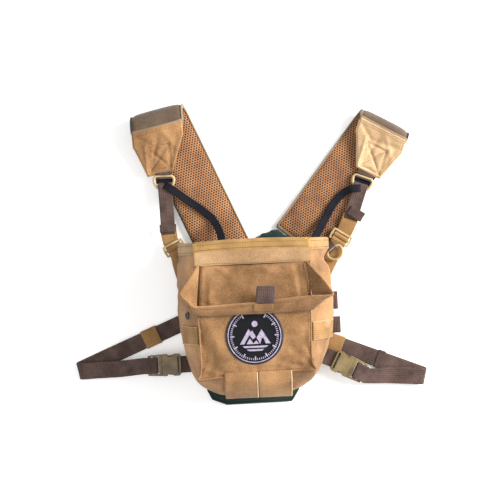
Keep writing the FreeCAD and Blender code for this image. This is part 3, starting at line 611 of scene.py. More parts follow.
def fill_edge(edge, bow):
    """The grid inside an outline, from its two sides, its base and a nearly straight top."""
    rows, columns = SIDE_ROWS, len(edge) - 1 - 2 * SIDE_ROWS
    left, base, right = edge[:rows + 1], edge[rows:rows + columns + 1], edge[::-1][:rows + 1]
    u = np.linspace(0, 1, columns + 1)[None, :, None]
    v = (lengths(left) / lengths(left)[-1])[:, None, None]
    top = left[0] + (right[0] - left[0]) * np.linspace(0, 1, columns + 1)[:, None]
    top[1:-1, 1] += bow * rim_bow(top[1:-1, 0])
    corners = (1 - u) * (1 - v) * left[0] + u * (1 - v) * right[0]
    corners = corners + (1 - u) * v * left[-1] + u * v * right[-1]
    return (1 - v) * top[None] + v * base[None] + (1 - u) * left[:, None] + u * right[:, None] - corners


# each crease is x, y at both of its ends, and its depth
FRONT_CREASES = [
    (72, -133, 46, -108, 3.0), (73, -122, 54, -96, 2.6), (68, -134, 34, -124, 2.2),
    (56, -134, 48, -112, 2.0), (-50, -138, -38, -116, 1.8), (-56, -128, -42, -100, 1.6),
    (-20, -133, 30, -131, 1.2), (68, -98, 50, -80, 1.6), (-57, -86, -50, -110, 2.0),
    (62, -82, 61, -116, 2.4),
]
FRONT_HOLLOWS = [(-57, -62, -58, -146, 4.2), (-30, -141, 58, -137, 1.8)]


def pouch():
    bands = np.array([pouch_edge(k / DEPTH_STEPS) for k in range(DEPTH_STEPS + 1)])
    front, back = fill_edge(bands[0], 1.0), fill_edge(bands[-1], 0.0)
    rows, columns = front.shape[:2]
    band_index = np.arange(bands.shape[0] * bands.shape[1]).reshape(bands.shape[:2])
    points = [bands.reshape(-1, 3)]
    count = bands.shape[0] * bands.shape[1]
    indexes = []
    for grid, border in ((front, band_index[0]), (back, band_index[-1])):
        index = np.zeros((rows, columns), int)
        index[:, 0] = border[:rows]
        index[-1, :] = border[rows - 1:rows - 1 + columns]
        index[:, -1] = border[::-1][:rows]
        inside = np.arange((rows - 1) * (columns - 2)).reshape(rows - 1, columns - 2)
        index[:-1, 1:-1] = count + inside
        points.append(grid[:-1, 1:-1].reshape(-1, 3))
        count += inside.size
        indexes.append(index)
    points = np.concatenate(points)
    front_index, back_index = indexes
    x, y = points[front_index][..., 0], points[front_index][..., 1]
    u = np.linspace(0, 1, columns)[None, :] * np.ones((rows, 1))
    v = np.linspace(0, 1, rows)[:, None] * np.ones((1, columns))
    under_lid = 1 / (1 + np.exp(-(y + 74) / 3))
    puff = 3.6 * np.sin(np.pi * u) ** 0.7 * np.sin(np.pi * v) ** 0.8 * (1 - under_lid)
    folds = creases(x, y, FRONT_CREASES) + creases(x, y, FRONT_HOLLOWS, 10) + 0.9 * ripple(x, y, 24)
    wrinkles = (1 - under_lid) * dome(u, v, 0.1) * folds
    points[front_index[:-1, 1:-1], 2] += puff[:-1, 1:-1]
    faces = grid_faces(front_index[:, ::-1]) + grid_faces(band_index[:, ::-1]) + grid_faces(back_index)
    piece = mesh("pouch_shell", points, faces)
    pinned = set(band_index[0]) | set(band_index[-1]) | set(band_index[:, 0]) | set(band_index[:, -1])
    pinned |= set(front_index[:5].ravel()) | set(back_index[:5].ravel())
    pinned |= set(band_index[:, :5].ravel()) | set(band_index[:, -5:].ravel())
    swell(piece, 1.2, 3.5, sorted(pinned), grow=0.02)
    co = coordinates(piece.data) / MM
    co[front_index[:-1, 1:-1], 2] += wrinkles[:-1, 1:-1]
    sides = band_index[2:-2, 6:-6]
    place = co[sides]
    fine = ripple(place[..., 1] + place[..., 0] * 0.6, place[..., 2] * 0.4, 11, 3.0)
    buckle = 1.3 * fine + 0.8 * ripple(place[..., 1], place[..., 2], 25, 9.0)
    to_side = np.sign(place[..., 0] - MIDDLE)
    to_base = np.where(place[..., 1] < -135, -1.0, 0.0)
    outward = unit(np.stack([to_side, to_base, np.full(sides.shape, 0.3)], axis=-1))
    co[sides] += outward * buckle[..., None]
    near = (co[:, 1] > -124) & (co[:, 2] > 80) & (np.abs(co[:, 0] - MIDDLE) < 64)
    co[near, 2] = np.minimum(co[near, 2], UNDER_LID_Z + 8 * rise(-co[near, 1], 70, 124))
    co[:, 2] = np.maximum(co[:, 2], LOWEST_Z)
    piece.data.vertices.foreach_set("co", (co * MM).ravel())
    modify(piece, "SOLIDIFY", thickness=3.0 * MM, offset=-1)
    modify(piece, "SUBSURF", levels=1, render_levels=1)
    walls = ("front_panel", "back_panel", "left_gusset", "right_gusset", "bottom_panel")
    nodes = (*(f"pouch_{wall}" for wall in walls), "rim_magnets")
    ready(piece, "harness", "coyote_fabric", nodes)
    return piece, bands


def rim_band(bands):
    """Binding tape round the rim: down the outside, over the edge and down the inside."""
    right = bands[:, -1]
    left = bands[::-1, 0]
    front = np.array([[x, 13 + rim_bow(x), FRONT_Z] for x in np.linspace(left[-1][0], right[0][0], 40)][1:-1])
    back = np.array([[x, 13, BACK_Z] for x in np.linspace(right[-1][0], left[0][0], 40)][1:-1])
    loop = np.concatenate([left, front, right, back])
    along = unit(np.roll(loop, -1, axis=0) - np.roll(loop, 1, axis=0))
    out = unit(np.cross(along, (0, -1, 0)))
    centre = np.array([MIDDLE, 13, 50])
    out *= np.sign(((loop - centre) * out).sum(axis=1))[:, None]
    profile = [
        (0.1, -11.8), (0.9, -12.2), (1.1, -11), (1.15, -4), (1.1, 0.2), (0.3, 1.3), (-1.6, 1.6),
        (-3.5, 1.3), (-4.3, 0.2), (-4.4, -7), (-4, -8), (-3.2, -7.6), (-3, 0), (-0.2, 0),
    ]
    rings = np.array([[p + o * a + np.array([0, b, 0]) for a, b in profile] for p, o in zip(loop, out)])
    run = lengths(np.concatenate([loop, loop[:1]]))
    rings = np.concatenate([rings, rings[:1]])
    widths = lengths(np.array([(a, b, 0) for a, b in profile]))
    uvs = [(w, r) for r in run for w in widths]
    piece = sweep("rim_tape", rings, uvs=uvs, caps=False)
    ready(piece, "harness", "gold_binding", ("rim_binding",))
    rows = []
    for level in (-9.8, -2.2):
        rows.append(np.array([p + o * 1.15 + np.array([0, level, 0]) for p, o in zip(loop, out)]))
    stitches("rim_stitches", "harness", "gold_thread", rows, pitch=3.0)


def gusset_bands(tree):
    """Webbing across each gusset, on the pouch's final surface."""
    for side, name in ((0, "left_gusset_loop"), (-1, "right_gusset_loop")):
        grid, uvs = [], []
        for depth in (0.3, *range(1, DEPTH_STEPS)):
            edge = pouch_edge(depth / DEPTH_STEPS)
            edge = edge[:60] if side == 0 else edge[::-1][:60]
            row = []
            for level in np.linspace(-82, -102, 8):
                p = np.array([np.interp(-level, -edge[:, 1], edge[:, 0]), level, edge[0, 2]])
                spot, _, _, _ = tree.find_nearest(Vector(p * MM))
                row.append(np.array(spot) / MM)
            grid.append(row)
            uvs.append([(w, depth * 4.6) for w in np.linspace(0, 19, 8)])
        grid = np.array(grid)
        grid[..., 0] = (grid[..., 0] + grid[..., 0].mean(axis=1, keepdims=True)) / 2
        grid[..., 0] += (1.2 if side else -1.2)
        grid[..., 2] += 0.5
        piece = surface(name, grid if side else grid[:, ::-1], uvs)
        modify(piece, "SOLIDIFY", thickness=1.2 * MM, offset=0)
        modify(piece, "SUBSURF", levels=1, render_levels=1)
        ready(piece, "harness", "tan_webbing", ("gusset_webbing_loops",) if side == 0 else ())
        for number in (0, -1):
            # the edge rolls take the lighter copy of the coyote fabric: painted highlights along the band's
            # edges
            edge = spline(grid[:, number] + (0, 0, 0.3), 2)
            hem = tube(f"{name}_hem_{number + 1}", edge, 0.7, sides=6)
            ready(hem, "harness", "tan_webbing", material="coyote_painted_light")


def base_loops():
    route = [
        (-135, 89.6), (-140.5, 89.3), (-148, 86.8), (-157, 78), (-165, 65), (-168.3, 52), (-167.2, 41),
        (-162, 29), (-156, 21),
    ]
    for x, name in ((-12, "base_loop_left"), (27, "base_loop_right")):
        piece = strap(name, [(x, y, z) for y, z in route], 38, 1.3, across=(1, 0, 0), per=4)
        ready(piece, "harness", "coyote_fabric", ("bottom_webbing_loops",) if x < 0 else ())
        # a roll along each loop's right edge only, in a pale colour: painted highlight on the edge facing the
        # key light
        edge = spline([(x + 18.6, y - 0.3, z + 0.4) for y, z in route[:7]], 6)
        hem = tube(name + "_hem", edge, 0.55, sides=6)
        ready(hem, "harness", "coyote_fabric", material="painted_edge_highlight")


def side_tabs():
    for number, (y_low, y_high, z, reach) in enumerate(((-71, -50, 31.2, 106), (-99.5, -80, 25.2, 108.5))):
        out = [(88, 1.0), (97, 1.1), (reach - 2.4, 1.1)]
        route = [(x, z + h) for x, h in out] + [(reach - 0.6, z)] + [(x, z - h) for x, h in out[::-1]]
        y = (y_low + y_high) / 2
        points = [(x, y, h) for x, h in route]
        piece = strap(f"side_tab_{number}", points, y_high - y_low, 1.1, across=(0, 1, 0))
        ready(piece, "harness", "brown_webbing", ("right_webbing_tabs",) if number == 0 else ())


def side_eyelet(tree):
    spot, facing, _, _ = tree.ray_cast(Vector((-0.0705, -0.0685, 0.12)), Vector((0, 0, -1)))
    turn = Vector((0, 0, 1)).rotation_difference(facing).to_matrix()
    profile = [(2.0, -1.2), (2.0, 0.6), (2.6, 1.3), (3.6, 1.4), (4.6, 0.9), (4.9, 0.0), (4.7, -0.8)]

    def on_wall(radius, angle, height):
        place = Vector((radius * math.cos(angle), radius * math.sin(angle), height))
        return np.array(turn @ place) + np.array(spot) / MM

    rings = []
    for a in np.arange(33) * math.pi / 16:
        rings.append([on_wall(r, a, h) for r, h in profile])
    piece = sweep("eyelet_ring", np.array(rings), faces_closed=False, caps=False)
    ready(piece, "harness", "eyelet", ("side_eyelet",))
    # a black disc closing the eyelet's bore: painted shade in the hole
    disc = [on_wall(2.1, a, -0.9) for a in np.arange(16) * math.pi / 8]
    ready(mesh("eyelet_hole_shade", disc, [tuple(range(16))]), "harness", "eyelet", material="black_plastic")


def patch(tree):
    """A round embroidered patch: dark twill, a light ring, compass ticks, and peaks under a sun."""
    centre = np.array([5.5, -94.0])
    radii = [0, 6, 12, 18, 23, 27, 30, 31.4, 32.3, 32.9, 33]
    lifts = [1.2, 1.2, 1.2, 1.2, 1.2, 1.2, 1.2, 1.5, 1.3, 0.7, 0.1]
    heights = {}

    def level(x, y):
        key = (round(x, 1), round(y, 1))
        if key not in heights:
            hit = tree.ray_cast(Vector((x * MM, y * MM, 0.12)), Vector((0, 0, -1)))[0]
            heights[key] = hit.z / MM if hit and hit.z > 0.08 else FRONT_Z
        return heights[key]

    def ground(x, y):
        """The level under the patch, evened out, because the patch is stiffer than the wall."""
        near = [level(x + a, y + b) for a, b in ((0, 0), (5, 0), (-5, 0), (0, 5), (0, -5))]
        return sum(near) / 5

    rings = []
    for r, h in zip(radii, lifts):
        row = []
        for a in np.arange(49) * math.pi / 24:
            x, y = centre + np.array([math.cos(a), math.sin(a)]) * r
            row.append((x, y, ground(x, y) + h))
        rings.append(row)
    body = sweep("patch_cloth", np.array(rings[:8]), faces_closed=False, caps=False)
    ready(body, "harness", "patch", ("front_patch",))
    edge = sweep("patch_border", np.array(rings[7:]), faces_closed=False, caps=False)
    ready(edge, "harness", "patch", material="patch_edge")

    def sector(near, far, start, end):
        corners = ((near, start), (far, start), (far, end), (near, end))
        return [(r * math.cos(a), r * math.sin(a)) for r, a in corners]

    shapes = []
    for index in range(72):
        if 13 <= index <= 23:
            continue
        a = index * math.pi / 36
        wide, near = (0.016, 25.2) if index % 6 else (0.03, 23.0)
        shapes.append(sector(near, 27.6, a - wide, a + wide))
    for index in range(72):
        shapes.append(sector(29.4, 30.5, index * math.pi / 36, (index + 1) * math.pi / 36))
    shapes += [
        [
            (-17, -9), (-6.5, 8), (-4.2, 4.6), (-2.6, 6.2), (1.6, -1.2), (-2.2, -3.6), (-5.6, 1.2),
            (-9.4, -4.6), (-12, -9),
        ],
        [(-9.4, -9), (-5.4, -2.6), (-1.6, -8.4), (1.8, -5.2), (4.6, -9)],
        [(2.2, -2), (8.2, 7), (18, -9), (12.4, -9), (9.6, -2), (7.6, -4.2), (6.2, -9), (5.8, -9)],
        [(-14, -11.2), (15, -11.2), (12.4, -13.2), (-11.6, -13.2)],
        [(-9.4, -15), (10.4, -15), (7.4, -17), (-6.6, -17)],
    ]
    sun = [(math.cos(t) * 3.4 + 0.6, math.sin(t) * 3.4 + 13.4) for t in np.arange(18) * math.pi / 9]
    shapes.append(sun)
    points, faces = [], []
    for shape in shapes:
        base, n = len(points), len(shape)
        for lift in (1.1, 2.15):
            for x, y in shape:
                px, py = centre + np.array([x, y])
                points.append((px, py, ground(px, py) + lift))
        faces.append(tuple(range(base + n, base + 2 * n)))
        faces += [(base + k, base + (k + 1) % n, base + n + (k + 1) % n, base + n + k) for k in range(n)]
    emblem = mesh("patch_emblem", points, faces)
    emblem.data.shade_flat()
    ready(emblem, "harness", "patch", material="embroidery")


# name, half width, lowest y, highest y, z of the wall behind it, and the way it faces
FOAM_PADS = (("front_foam", 57, -130, 5, 84, -1), ("back_foam", 57, -139, 5, 20, 1))


def foam_pads():
    """Quilted pads against the front and back walls, inside the pouch."""
    for name, half, y_low, y_high, z, facing in FOAM_PADS:
        u, v = np.meshgrid(np.linspace(0, 1, 35), np.linspace(0, 1, 41))
        x, y = MIDDLE + (2 * u - 1) * half, y_low + (y_high - y_low) * v
        quilt = 0.75 + 0.25 * np.abs(np.sin(np.pi * (x + y) / 24) * np.sin(np.pi * (x - y) / 24)) ** 0.5
        inner = np.stack([x, y, z + facing * 4.6 * dome(u, v, 0.08) * quilt], axis=-1)
        outer = np.stack([x, y, np.full(x.shape, z - facing * 0.2)], axis=-1)
        outer[1:-1, 1:-1, 2] -= facing * 0.4
        piece = cushion(name, inner if facing > 0 else outer, outer if facing > 0 else inner)
        ready(piece, "harness", "foam", ("pouch_foam_pads",) if facing < 0 else ())


# ---- lid -----------------------------------------------------------------------------------------

SKIRT = [
    ((-53.6, -12, 92.4), (-55.4, -12.6, 95.4)), ((-54.6, -22, 92.4), (-61.5, -22.5, 99.5)),
    ((-55.8, -34, 92.4), (-70.5, -34, 104.3)), ((-57, -47, 92.4), (-75.8, -42.2, 106)),
    ((-58.6, -60, 92.5), (-69, -50.4, 106.8)), ((-59.6, -67.6, 92.8), (-60.6, -57.4, 107.2)),
    ((-42, -69.5, 92.8), (-42, -58, 107.4)), ((-16, -69.4, 92.8), (-16, -57, 107.2)),
    ((5, -69.2, 92.8), (5, -56.4, 107.6)), ((28, -69.3, 92.8), (28, -54.6, 107.6)),
    ((50, -68.8, 92.8), (50, -52.8, 107)), ((67, -67.8, 93), (72, -51.6, 106.8)),
    ((73.6, -66.4, 93), (88, -51.8, 106)), ((74.2, -58, 92.8), (95.8, -50.4, 104.8)),
    ((72.4, -47, 92.6), (91, -41.5, 104.4)), ((69.8, -34, 92.4), (83.6, -31, 102)),
    ((68, -22, 92.4), (75.4, -22, 98.4)), ((66.8, -12, 92.4), (68.6, -13, 95.4)),
]


LID_CREASES = [(-48, -14, -49, -66, 0.9), (58, -16, 62, -60, 1.1), (-30, -64, 40, -62, 0.7)]


def lid():
    low = 89.7
    # padded panel, inside face up
    u, v = np.meshgrid(np.linspace(0, 1, 41), np.linspace(0, 1, 27))
    half = 59.4 + 5.4 * v
    x = MIDDLE + (2 * u - 1) * half
    y = -11.5 - 57.5 * v - 1.2 * np.sin(np.pi * u) * (1 - v)
    puffed = dome(u, v, 0.2)
    top = low + 2.5 + 3.4 * puffed * (0.75 + 0.35 * np.sin(np.pi * u)) + 0.7 * puffed * ripple(x, y, 22, 2.0)
    top += dome(u, v, 0.1) * creases(x, y, LID_CREASES, 3.0)
    upper = np.stack([x, y, top], axis=-1)
    lower = np.stack([x, y, np.full(x.shape, low)], axis=-1)
    for edge in (np.s_[0], np.s_[-1], np.s_[:, 0], np.s_[:, -1]):
        upper[edge] = lower[edge] + np.array([0, 0, 1.2])
    panel = cushion("lid_panel", upper, lower)
    index = np.arange(27 * 41).reshape(27, 41)
    held = {*index[0], *index[-1], *index[:, 0], *index[:, -1]}
    held |= set(range(27 * 41, 27 * 41 + 25 * 39))  # the whole underside
    swell(panel, 1.5, 1.5, sorted(held), grow=0.02)
    modify(panel, "SUBSURF", levels=1, render_levels=1)
    ready(panel, "lid", "coyote_fabric", ("lid_outer_sheet", "lid_stiffener"))
    # single layer between the hinge tape and the panel
    u, v = np.meshgrid(np.linspace(0, 1, 41), np.linspace(0, 1, 7))
    x = MIDDLE + (2 * u - 1) * 65.8
    y = 3.0 + rim_bow(x) * (1 - v) - 15.6 * v
    z = low + 1.9 + 1.3 * np.sin(np.pi * v) + 0.5 * ripple(x, y, 20, 5.0) - 0.5 * v
    strip = surface("lid_strip", np.stack([x, y, z], axis=-1)[::-1])
    modify(strip, "SOLIDIFY", thickness=1.1 * MM, offset=0)
    modify(strip, "SUBSURF", levels=1, render_levels=1)
    # the strip, the same coyote cloth as the lid, takes the lighter copy: painted light
    ready(strip, "lid", "coyote_fabric", material="coyote_painted_light")
    # hinge tape
    u, v = np.meshgrid(np.linspace(0, 1, 61), np.linspace(0, 1, 21))
    x = MIDDLE + (2 * u - 1) * 66.6
    y = 13.3 + rim_bow(x) - 11.8 * v
    z = low + 2.7 - 1.1 * (2 * v - 1) ** 4 - 0.45 * np.exp(-(((np.abs(v - 0.5) - 0.3) / 0.07) ** 2))
    tape = surface("lid_tape", np.stack([x, y, z], axis=-1)[::-1], np.stack([11.8 * v, x], axis=-1)[::-1])
    modify(tape, "SOLIDIFY", thickness=1.4 * MM, offset=-1)
    modify(tape, "SUBSURF", levels=1, render_levels=1)
    ready(tape, "lid", "gold_binding", ("lid_hinge_tape",))
    # hinge cloth that stays sewn to both sides
    route = [(6, 89.25), (12.5, 89.35), (14.6, 90), (14.6, 91), (12.5, 91.4), (8, 91.4)]
    points = [(MIDDLE, y, z) for y, z in route]
    web = strap("lid_hinge_web", points, 130, 0.5, across=(1, 0, 0), per=4)
    ready(web, None, "gold_binding")
    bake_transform(web)
    # skirt round three sides
    base, free = spline([b for b, _ in SKIRT], 6), spline([f for _, f in SKIRT], 6)
    run = lengths(free)
    along = unit(np.gradient(base, axis=0))
    lean = unit(np.cross(along, free - base))
    grid = []
    for share in np.linspace(0, 1, 10):
        row = base + (free - base) * share
        rough = np.array([noise.noise(Vector((r / 14, share * 0.9, 7.0))) for r in run])
        wave = 0.9 * rough * math.sin(math.pi * min(share + 0.25, 1.0))
        row = row + lean * (1.1 * math.sin(math.pi * share) + wave)[:, None]
        grid.append(row)
    skirt = surface("lid_skirt", np.array(grid))
    modify(skirt, "SOLIDIFY", thickness=1.7 * MM, offset=0)
    modify(skirt, "SUBSURF", levels=1, render_levels=1)
    ready(skirt, "lid", "coyote_fabric", ("lid_side_wings", "lid_rear_skirt", "lid_magnets"))
    ready(tube("lid_skirt_hem", np.array(grid[-1]), 1.25, sides=8), "lid", "coyote_fabric")
    turns = ((-1, 56.6, -13), (-1, 62, -66.8), (1, 62, -66.8), (1, 56.6, -13))
    outline = [(MIDDLE + s * h, y, low + 3.4) for s, h, y in turns]
    tree = tree_of(panel, strip, tape, skirt)
    rows = [spline(outline[:2], 20), spline(outline[1:3], 30), spline(outline[2:], 20)]
    for y in (12.9, 10.2):
        seam = [(MIDDLE - 58, -y, low + 4), (MIDDLE, -y - 1.2, low + 4), (MIDDLE + 58, -y, low + 4)]
        rows.append(spline(seam, 20))
    rows.append(grid[-3] + (np.array(grid[-3]) - np.array(grid[-4])) * 0.5)
    rows.append(grid[1])
    stitches("lid_stitches", "lid", "thread", rows, tree)
    tape_rows = []
    for drop in (2.4, 9.4):
        across = np.linspace(MIDDLE - 65, MIDDLE + 65, 60)
        tape_rows.append(np.array([(x, 13.3 + rim_bow(x) - drop, low + 4) for x in across]))
    stitches("lid_tape_stitches", "lid", "gold_thread", tape_rows, tree, pitch=3.0)
    # pull tab, and the patch of cloth its foot is sewn under
    route = [(18.4, -57.4, 104.6), (18.6, -57.0, 107.6), (19.0, -54.6, 109.4), (20.0, -47, 110.6)]
    route += [(21.2, -39.4, 111.6), (21.3, -38.4, 110.7), (20.2, -46, 108.9), (19.0, -54, 107.4)]
    tab = strap("pull_tab", route, 21.5, 1.1, across=(1, -0.03, 0), per=4)
    ready(tab, "lid", "brown_webbing", ("lid_pull_tab",))
    u, v = np.meshgrid(np.linspace(0, 1, 13), np.linspace(0, 1, 7))
    x, y = 6 + 22 * u, -57.6 - 9.6 * v

    def level(x, y):
        hit = tree.ray_cast(Vector((x * MM, y * MM, 0.13)), Vector((0, 0, -1)))[0]
        return (hit or Vector((0, 0, 0.1))).z / MM

    z = [[level(a, b) for a, b in zip(*row)] for row in zip(x, y)]
    cover = surface("pull_tab_cover", np.stack([x, y, np.array(z) + 0.9], axis=-1)[::-1])
    modify(cover, "SOLIDIFY", thickness=0.9 * MM, offset=0)
    modify(cover, "SUBSURF", levels=1, render_levels=1)
    ready(cover, "lid", "coyote_fabric")
    corners = [(7, -58.6), (27, -58.6), (27, -66.4), (7, -66.4), (7, -58.6)]
    box = [spline([(*p, 100), (*q, 100)], 8) for p, q in zip(corners, corners[1:])]
    stitches("pull_tab_stitches", "lid", "thread", box, tree_of(cover), pitch=2.6, long=1.9)
    return tree


# ---- straps --------------------------------------------------------------------------------------


class Fold:
    """A strap that comes in low, turns over a fold line and goes back on top of itself."""

    def __init__(self, start, turn, end, low, radius):
        start, turn, end = (np.array([*p, 0.0]) for p in (start, turn, end))
        come, go = unit(turn - start), unit(end - turn)
        self.turn, self.low, self.radius = turn, low, radius
        self.normal = unit(come - go)
        self.line = np.array([-self.normal[1], self.normal[0], 0.0])
        self.slant = come @ self.line / (come @ self.normal)
        self.cosine = 1 / math.hypot(1, self.slant)
        self.come_in = np.linalg.norm(turn - start) * self.cosine
        self.go_out = np.linalg.norm(end - turn) * self.cosine
        self.arc = math.pi * radius

    def at(self, tau, drop=0.0):
        """Middle, sideways vector and outward normal at tau on the unrolled strap."""
        angle = min(max(tau / self.radius, 0), math.pi)
        reach = min(tau, 0) + self.radius * math.sin(angle) - max(tau - self.arc, 0)
        height = self.low + self.radius * (1 - math.cos(angle)) - drop
        middle = self.turn + self.normal * reach + self.line * (tau * self.slant) + UP * height
        return middle, self.line / self.cosine, self.normal * math.sin(angle) - UP * math.cos(angle)


SHOULDERS = {
    "left": ((-24, 2.5), (-93.8, 165), (-92.4, 100), 9.6),
    "right": ((63, 12), (166.5, 141.8), (146.8, 91.3), 0.3),
}
PAD_WIDTH, PAD_THICK, RING_Z = 62.0, 8.0, 12.5


def mesh_holes(across, along):
    """How far each point is from the nearest hole of the spacer mesh, as a share of its pitch."""
    near = np.full(np.shape(across), 9.0)
    for shift in (0.0, 0.5):
        u = across / MESH_PITCH + shift
        v = along / (MESH_PITCH * MESH_ROWS) + shift
        near = np.minimum(near, np.hypot(u - np.round(u), (v - np.round(v)) * MESH_ROWS))
    return near


def shoulder(side):
    start, turn, end, over = SHOULDERS[side]
    fold = Fold(start, turn, end, PAD_THICK / 2, 9)
    begin = -fold.come_in
    stop = fold.arc + over * fold.cosine
    sink = (fold.low + 18 - RING_Z) / 55
    taus = np.arange(begin, stop, 0.85 * fold.cosine)
    shares = np.linspace(-1, 1, 77)
    # straight end at the yoke, turning to the slant of the fold line
    first_line = np.array([-(turn[1] - start[1]), turn[0] - start[0], 0.0])
    first_line = unit(first_line)
    stations = []
    for tau in taus:
        middle, line, out = fold.at(tau, sink * max(tau - fold.arc, 0) / fold.cosine)
        share = min(max((tau - begin) / (0 - begin), 0), 1)
        share = share * share * (3 - 2 * share)
        stations.append((middle, first_line * (1 - share) + line * share, out))
    middles = np.array([s[0] for s in stations])
    lines = np.array([s[1] for s in stations])
    outs = np.array([s[2] for s in stations])
    run = lengths(middles)
    a = shares[None, :] * np.ones((len(taus), 1))
    r = run[:, None] * np.ones((1, len(shares)))
    thick = 0.5 + 3.6 * (1 - np.abs(a) ** 5) ** 0.5
    wave = 0.5 * ripple(a * 31, r, 30, 4.0)
    dimple = 0.95 * np.exp(-((mesh_holes(a * PAD_WIDTH / 2, r) / 0.3) ** 2))
    ends = np.minimum(1, np.minimum(r, run[-1] - r) / 6) ** 0.5
    spread = middles[:, None] + lines[:, None] * (a * PAD_WIDTH / 2 * 0.985)[..., None]
    full = thick * (0.35 + 0.65 * ends)
    inner = spread - outs[:, None] * ((full + wave * ends - dimple)[..., None])
    uvs = np.stack([a * PAD_WIDTH / 2, r], axis=-1)
    face = surface(f"{side}_pad_mesh", inner, uvs)
    ready(face, "harness", "mesh_padding", (f"{side}_shoulder_pad",))
    coarse = slice(None, None, 4)
    outer = (spread + outs[:, None] * ((full + 0.4 * wave)[..., None]))[coarse, coarse]
    outer[..., 2] = np.maximum(outer[..., 2], 0.15)
    back = surface(f"{side}_pad_back", outer[:, ::-1], uvs[coarse, coarse][:, ::-1])
    modify(back, "SUBSURF", levels=1, render_levels=1)
    ready(back, "harness", "mesh_padding", material="pad_back")
    # binding along both edges and across both ends
    edge_material = {"left": ("grey_edge", "dark_edge"), "right": ("dark_edge", "grey_edge")}[side]
    for sign, name, material in ((-1, "a", edge_material[0]), (1, "b", edge_material[1])):
        path = (middles + lines * sign * PAD_WIDTH / 2 * 0.985)[::4]
        edge = pad_edge(f"{side}_pad_edge_{name}", path, outs[::4])
        ready(edge, "harness", "mesh_padding", material=material)
    for row, name in ((0, "foot"), (-1, "head")):
        path = middles[row] + lines[row] * np.linspace(-PAD_WIDTH / 2, PAD_WIDTH / 2, 16)[:, None]
        radius = 2.4 if name == "foot" else 3.6
        roll = tube(f"{side}_pad_{name}", path, radius, sides=12)
        ready(roll, "harness", "mesh_padding", material="grey_edge")
    shoulder_tab(side, fold, over, sink)


def pad_edge(name, path, outs):
    """A flattened roll whose long side stands across the pad's edge."""
    along = unit(np.gradient(path, axis=0))
    flat = unit(np.cross(along, outs))
    turns = np.arange(10) * math.pi / 5
    rings = []
    for p, f, o in zip(path, flat, outs):
        rings.append([p + f * 1.3 * math.cos(t) + o * 2.7 * math.sin(t) for t in turns])
    run = lengths(path)
    return sweep(name, np.array(rings), uvs=[(t * 2, r) for r in run for t in turns])


# the boxed cross sewn through a tab, and the creases of its cloth
TAB_SEAMS = [
    (-12.5, 22, 12.5, 22), (-12.5, 22, -12.5, 50), (12.5, 22, 12.5, 50), (-12.5, 50, 12.5, 50),
    (-12.5, 22, 12.5, 50), (12.5, 22, -12.5, 50),
]
TAB_CREASES = [(-28, 12, 10, 18, 1.7), (0, 10, 11, 46, 2.0), (-22, 16, -14, 42, 1.4), (25, 6, 8, 20, 1.6)]


def shoulder_tab(side, fold, over, sink):
    """The fabric tab: full width, then tapering to the ring, with a boxed cross sewn through it."""
    rows, columns = 45, 41
    grid = np.zeros((rows, columns, 3))
    outs = np.zeros((rows, columns, 3))
    a = np.linspace(-1, 1, columns)[None, :] * np.ones((rows, 1))
    run = np.linspace(-0.8, 55, rows)[:, None] * np.ones((1, columns))
    width = np.zeros(rows)
    for i, length in enumerate(run[:, 0]):
        tau = fold.arc + (over + length) * fold.cosine
        middle, line, out = fold.at(tau, sink * max(over + length, 0))
        width[i] = 62.5 - 30.5 * min(max((length - 16) / 39, 0), 1) ** 0.9
        grid[i] = middle + line * (a[i] * width[i] / 2)[:, None]
        outs[i] = out
    across = a * width[:, None] / 2
    sewn = creases(across, run, [(*s, 1.7) for s in TAB_SEAMS], 1.8)
    folds = creases(across, run, TAB_CREASES, 3.0)
    folds += creases(across, run, [(16, 16, 14, 52, -1.8), (-6, 6, -22, 30, -1.0)], 2.4)
    foot = 2.4 * np.exp(-((run + 0.8) / 7))
    crown = 1.2 * dome((a + 1) / 2, (run + 0.8) / 55.8, 0.1)
    rough = 0.7 * ripple(across, run, 13, 1.5 if side == "left" else 6.5)
    puff = 1.4 + foot + crown + sewn + folds + rough
    edge = np.minimum(1, (1 - np.abs(a)) * width[:, None] / 2 / 1.5)
    front = grid + outs * ((puff * edge)[..., None])
    rear = grid - outs * ((1.2 * edge)[..., None])
    front[-1], front[:, 0], front[:, -1] = grid[-1], grid[:, 0], grid[:, -1]
    tab = cushion(f"{side}_tab", front, rear)
    modify(tab, "SUBSURF", levels=1, render_levels=1)
    # the right tab takes the lighter copy of the fabric: painted light
    material = "coyote_fabric" if side == "left" else "coyote_painted_bright"
    ready(tab, "harness", "coyote_fabric", (f"{side}_shoulder_tab",), material)
    tree = tree_of(tab)

    def on_tab(x, y):
        tau = fold.arc + (over + y) * fold.cosine
        middle, line, _ = fold.at(tau, sink * (over + y))
        return middle + line * x + UP * 3

    rows = []
    for x0, y0, x1, y1 in TAB_SEAMS:
        steps = np.linspace(0, 1, 12)
        rows.append(np.array([on_tab(x0 + (x1 - x0) * t, y0 + (y1 - y0) * t) for t in steps]))
    for sign in (-1, 1):
        row = []
        for y in np.linspace(-over, 53, 20):
            row.append(on_tab(sign * (np.interp(y, run[:, 0], width) / 2 - 2.6), y))
        rows.append(np.array(row))
    rows += [np.array([on_tab(x, y) for x in np.linspace(-29, 29, 20)]) for y in (1.6, 4.2)]
    rows.append(np.array([on_tab(x, 53) for x in np.linspace(-14, 14, 20)]))
    stitches(f"{side}_tab_stitches", "harness", "thread", rows, tree, pitch=2.8, long=2.0, thick=0.28)


def turned(x, y, degrees):
    c, s = math.cos(math.radians(degrees)), math.sin(math.radians(degrees))
    return x * c - y * s, x * s + y * c


def local_strap(name, origin, degrees, route, width, thick, per=4):
    """A strap drawn from the side as (y, z) in a frame turned about Z, as wide as width across it."""
    points = []
    for y, z in route:
        x_turned, y_turned = turned(0, y, degrees)
        points.append((origin[0] + x_turned, origin[1] + y_turned, origin[2] + z))
    across = (*turned(1, 0, degrees), 0.0)
    return strap(name, points, width, thick, across=across, per=per)


